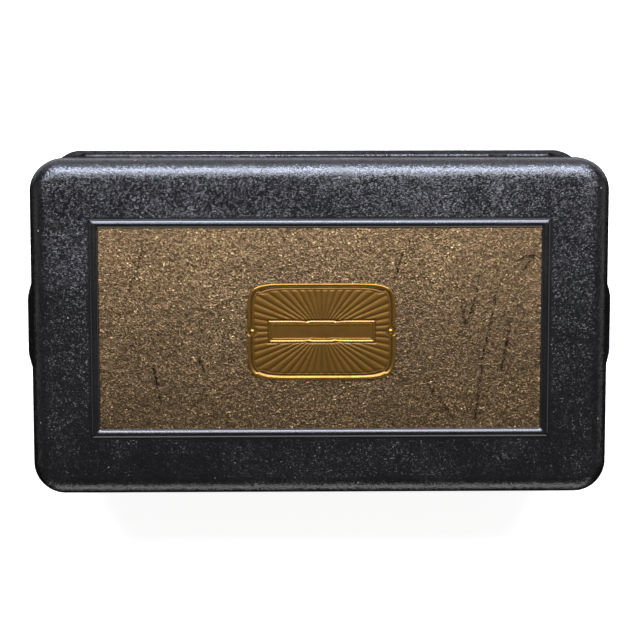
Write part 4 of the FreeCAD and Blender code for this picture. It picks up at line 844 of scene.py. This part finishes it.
# Fresh-cut brass shines in fine rings, nickel is warm and tarnished, cadmium grey and satiny.
turned_brass = worked("turned_brass", "#8a6d33", "#c4a35c", 0.5, 0.3, 0.01, (1, 6, 1), Metallic=1)
dress(turned_brass, "tuning_shaft", "volume_shaft", "pilot_lamp_holder", "drive_belts")
for index, body in enumerate(("tuner_left", "tuner_middle", "tuner_right"), 1):
    softened(f"belt_pulley_{index}", turned_brass, 0.5, body)
nickel = worked("tarnished_nickel", "#8c867b", "#c9c3b6", 2.4, 0.25, Metallic=1)
softened("panel_nuts", nickel, 0.35)
dress(nickel, "toggle_lever", "terminal_studs")
softened("toggle_switch", thin_black, 0.5)
cadmium = worked("dull_cadmium_plate", "#6b6c68", "#a9a9a2", 5, 0.42, 0.02, Metallic=1)
softened("volume_control", cadmium, 0.5)
softened("tuning_bracket", cadmium, 0.3)

# --- Dial ----------------------------------------------------------------------------------------
# A disc of ivory celluloid on the middle condenser's shaft, engraved with a scale of 0 to 100
# over half its edge, and the engraving filled with black. The lamp behind the belts, which would light
# it, is left unlit.

softened("dial_disc", ivory, 0.15, "tuner_middle")
# The wax in the engraving is a matt brown-black.
engraver_black = worked("engraving_wax", "#0f0d0c", "#221e1a", 0.6, 0.6)
DIAL_LOW, DIAL_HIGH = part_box("dial_disc")
DIAL_RADIUS = (DIAL_HIGH.x - DIAL_LOW.x) / 2
DIAL_FACE = DIAL_LOW.y + 0.0015
STEPS, WAX, LINE_IN, FIGURE_IN, FIGURE_TALL = 50, 0.00012, 0.0012, 0.0072, 0.0042
centre = Vector((0, DIAL_FACE, AXIS_Z))
points, faces = [], []
for step in range(STEPS + 1):
    turn = math.pi / 2 - math.pi * step / STEPS
    length = 0.0052 if step % 5 == 0 else 0.0030
    half = 0.00022 if step % 5 == 0 else 0.00014
    outward = Vector((math.sin(turn), 0, math.cos(turn)))
    across = Vector((math.cos(turn), 0, -math.sin(turn)))
    first = len(points)
    for radius in (DIAL_RADIUS - LINE_IN, DIAL_RADIUS - LINE_IN - length):
        for side in (-half, half):
            points += [centre + outward * radius + across * side + Vector((0, y, 0))
                       for y in (0.0001, -WAX)]
    faces += [tuple(first + i for i in face) for face in
              ((0, 1, 3, 2), (4, 6, 7, 5), (0, 4, 5, 1), (2, 3, 7, 6), (1, 5, 7, 3), (0, 2, 6, 4))]
mesh = surface("dial_scale", points, faces, smooth=False)
mesh.materials.append(engraver_black)
scale = put("dial_scale", mesh)
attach(scale, "tuner_middle")
for step in range(11):
    turn = math.pi / 2 - math.pi * step / 10
    figure = bpy.data.curves.new(f"dial_figure_{step}", "FONT")
    figure.body = str(step * 10)
    figure.size = FIGURE_TALL
    figure.align_x = "CENTER"
    figure.align_y = "TOP"
    figure.extrude = WAX
    figure.resolution_u = 3
    figure.materials.append(engraver_black)
    made = put(f"dial_figure_{step}", figure)
    reach = DIAL_RADIUS - FIGURE_IN
    spot = Vector((reach * math.sin(turn), DIAL_FACE, AXIS_Z + reach * math.cos(turn)))
    made.matrix_world = (Matrix.Translation(spot) @ Matrix.Rotation(turn, 4, "Y")
                         @ Matrix.Rotation(math.pi / 2, 4, "X"))
    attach(made, "tuner_middle")

# Clear glass with a slight bloom.
lamp_glass = worked("lamp_glass", "#e9efe9", "#fbfdf9", 12, 0.14, IOR=1.5, Transmission_Weight=0.95)
dress(lamp_glass, "pilot_lamp")

# --- Chassis and tuning condensers ---------------------------------------------------------------
# The pan and the condensers' frames are folded from cadmium-plated steel. Their vanes are sheet
# aluminium gone matt, and bronze bands round brass drums turn the outer two with the middle one.

softened("chassis_pan", cadmium, 0.5)
# Aluminium that has gone matt and pale, brushed upright.
vane = worked("oxidised_aluminium", "#7e7f80", "#a9aaaa", 3, 0.45, 0.01, (1, 1, 5), Metallic=1)
for index in (1, 2, 3):
    softened(f"condenser_frame_{index}", cadmium, 0.4)
    dress(vane, f"condenser_rotor_{index}")
dress(vane, "condenser_stators")

# --- Coils ---------------------------------------------------------------------------------------
# Varnished card tubes carry one close layer of green silk-covered wire. Each turn stands out as
# a small round ridge.

# Varnish turns card a glossy brown with long fibres; silk is a deep green with a soft sheen.
card = worked("varnished_card", "#3a2415", "#6b4729", 4, 0.4, 0.04, (1, 1, 4), Coat_Weight=0.3)
silk = worked("green_silk", "#18301c", "#2f5233", 0.9, 0.6, 0.05, Sheen_Weight=0.4)
WINDING_LOW, WINDING_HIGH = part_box("coil_windings")
TURNS, COIL_SIDES, WIRE, WIRE_CUT = 56, 72, 0.001, 0.00095
for index in (1, 2, 3):
    softened(f"coil_former_{index}", card, 0.3)
    low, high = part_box(f"coil_former_{index}")
    middle = (low + high) / 2
    inner = (high.x - low.x) / 2 + 0.00005
    pitch = (WINDING_HIGH.z - WINDING_LOW.z) / TURNS
    rows = [(inner, WINDING_LOW.z)]
    for turn_index in range(TURNS):
        rows += [(inner + WIRE * math.sin(math.pi * (part + 0.5) / 4) ** 0.7,
                  WINDING_LOW.z + pitch * (turn_index + (part + 0.5) / 4)) for part in range(4)]
    rows.append((inner, WINDING_HIGH.z))
    points, faces = [], []
    for radius, z in rows:
        radius = min(radius, inner + WIRE_CUT)
        points += [(middle.x + radius * math.cos(math.tau * side / COIL_SIDES),
                    middle.y + radius * math.sin(math.tau * side / COIL_SIDES), z)
                   for side in range(COIL_SIDES)]
    for row in range(len(rows)):
        for side in range(COIL_SIDES):
            after, above = (side + 1) % COIL_SIDES, (row + 1) % len(rows)
            faces.append((row * COIL_SIDES + side, row * COIL_SIDES + after, above * COIL_SIDES + after,
                          above * COIL_SIDES + side))
    mesh = surface(f"coil_winding_{index}", points, faces)
    mesh.materials.append(silk)
    winding = put(f"coil_winding_{index}", mesh)
    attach(winding, "case")
    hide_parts("coil_windings")

# --- Valves --------------------------------------------------------------------------------------
# Blown glass with a silvered crown from the getter, cemented into brown phenolic bases, over
# sockets of laminated board. The anodes are nickel blackened with carbon.

# Blown glass: clear, with a mirror of silver that fades in between two heights of the bulb.
SILVER_LOW, SILVER_HIGH, SILVER_WAVE = 0.126, 0.137, 0.012
glass, tree, shader = finish_of("blown_glass", IOR=1.5, Roughness=0.03, Transmission_Weight=1)
spot = add(tree, "TexCoord").outputs["Object"]
height = add(tree, "SeparateXYZ", {"Vector": spot})
cloudy = add(tree, "TexNoise", {"Vector": spot, "Scale": per_metre(16), "Detail": 5})
edge = add(tree, "Math", {0: cloudy.outputs["Fac"], 1: SILVER_WAVE, 2: height.outputs["Z"]},
           operation="MULTIPLY_ADD")
silver = add(tree, "MapRange", {"Value": edge.outputs[0], "From Min": SILVER_LOW,
                                "From Max": SILVER_HIGH})
tone = add(tree, "Mix", {0: silver.outputs[0], 6: linear("#f2f5f4"), 7: linear("#9c968c")},
           data_type="RGBA")
link(tree, tone.outputs[2], shader, "Base Color")
link(tree, silver.outputs[0], shader, "Metallic")
film = add(tree, "MapRange", {"Value": cloudy.outputs["Fac"], "To Min": 0.02, "To Max": 0.14})
link(tree, film.outputs[0], shader, "Roughness")
dress(glass, "tube_bulbs")
softened("tube_bases", phenolic, 0.8)
# Laminated board shows its brown layers; carbon leaves the nickel a soft grey-black.
board = worked("laminated_board", "#2e1b0e", "#55361d", 2.2, 0.45, 0.03, (1, 1, 7))
softened("tube_sockets", board, 0.4)
anode = worked("carbonised_nickel", "#1f1f20", "#3f3f41", 1.5, 0.6, 0.04, Metallic=0.8)
softened("tube_elements", anode, 0.4)

# --- Power supply and transformers ---------------------------------------------------------------
# A deep-drawn can in thin black paint covers the mains transformer and two waxed filter
# condensers. The interstage transformers stand in folded covers of the same paint.

for node, width in (("power_can", 2.0), ("audio_transformer_1", 1.2), ("audio_transformer_2", 1.2)):
    softened(node, thin_black, width)
# Varnished iron sheets show as dark lines, waxed paper is cloudy tan, the cartridge glossy amber.
iron = worked("varnished_laminations", "#1e1a17", "#4b423a", 0.7, 0.5, 0.08, (1, 1, 6), Metallic=0.4)
softened("mains_transformer", iron, 0.8)
wax = worked("waxed_paper_block", "#5e4a30", "#a08660", 6, 0.4, 0.1, Subsurface_Weight=0.1)
softened("filter_condensers", wax, 1.2)
softened("bypass_condensers", wax, 1.0)
amber = worked("lacquered_cartridge", "#5c2a10", "#a0522a", 3, 0.2, Coat_Weight=0.6)
softened("grid_leak", amber, 0.3)

# --- Terminals and wiring ------------------------------------------------------------------------
# Nickelled studs and thumb nuts and two tip jacks stand on a strip of laminated board behind a
# slot in the rear wall. The leads are copper in waxed yellow cotton, and the cord's grommet is rubber.

softened("terminal_strip", board, 0.5)
softened("speaker_jacks", nickel, 0.3)
softened("cord_grommet", hard_rubber, 0.5)
# Waxed cotton is a dull yellow with a faint nap.
cotton = worked("waxed_cotton", "#7a6428", "#b4984a", 0.8, 0.7, 0.12, Sheen_Weight=0.3)
dress(cotton, "hookup_wires")
NUT_BORE = 0.00206
for node, body in (("antenna_nut_long", "long_antenna_nut"), ("antenna_nut_short", "short_antenna_nut"),
                   ("ground_nut", "earth_nut")):
    low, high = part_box(node)
    middle, radius = (low + high) / 2, (high.x - low.x) / 2
    grip = ((0.9, 0), (0.97, 0.0003), (1, 0.0008), (1, 0.0040), (0.97, 0.0045), (0.72, 0.0050),
            (0.66, 0.0056))
    profile = [(NUT_BORE, low.y)] + [(radius * share, low.y + back) for share, back in grip]
    profile += [(radius * 0.66, high.y - 0.0005), (radius * 0.6, high.y), (NUT_BORE, high.y)]
    mesh = lathe(node + "_knurled", profile, middle, 160, 0.0004, 40, (2, 3, 4, 5))
    work = bmesh.new()
    work.from_mesh(mesh)
    caps = [face for face in work.faces if len(face.verts) > 4]
    bmesh.ops.delete(work, geom=caps, context="FACES_ONLY")
    rims = [edge for edge in work.edges if edge.is_boundary]
    bmesh.ops.bridge_loops(work, edges=rims)
    work.to_mesh(mesh)
    work.free()
    mesh.materials.append(nickel)
    nut = put(node + "_knurled", mesh)
    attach(nut, body)
    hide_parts(node)

low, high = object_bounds()
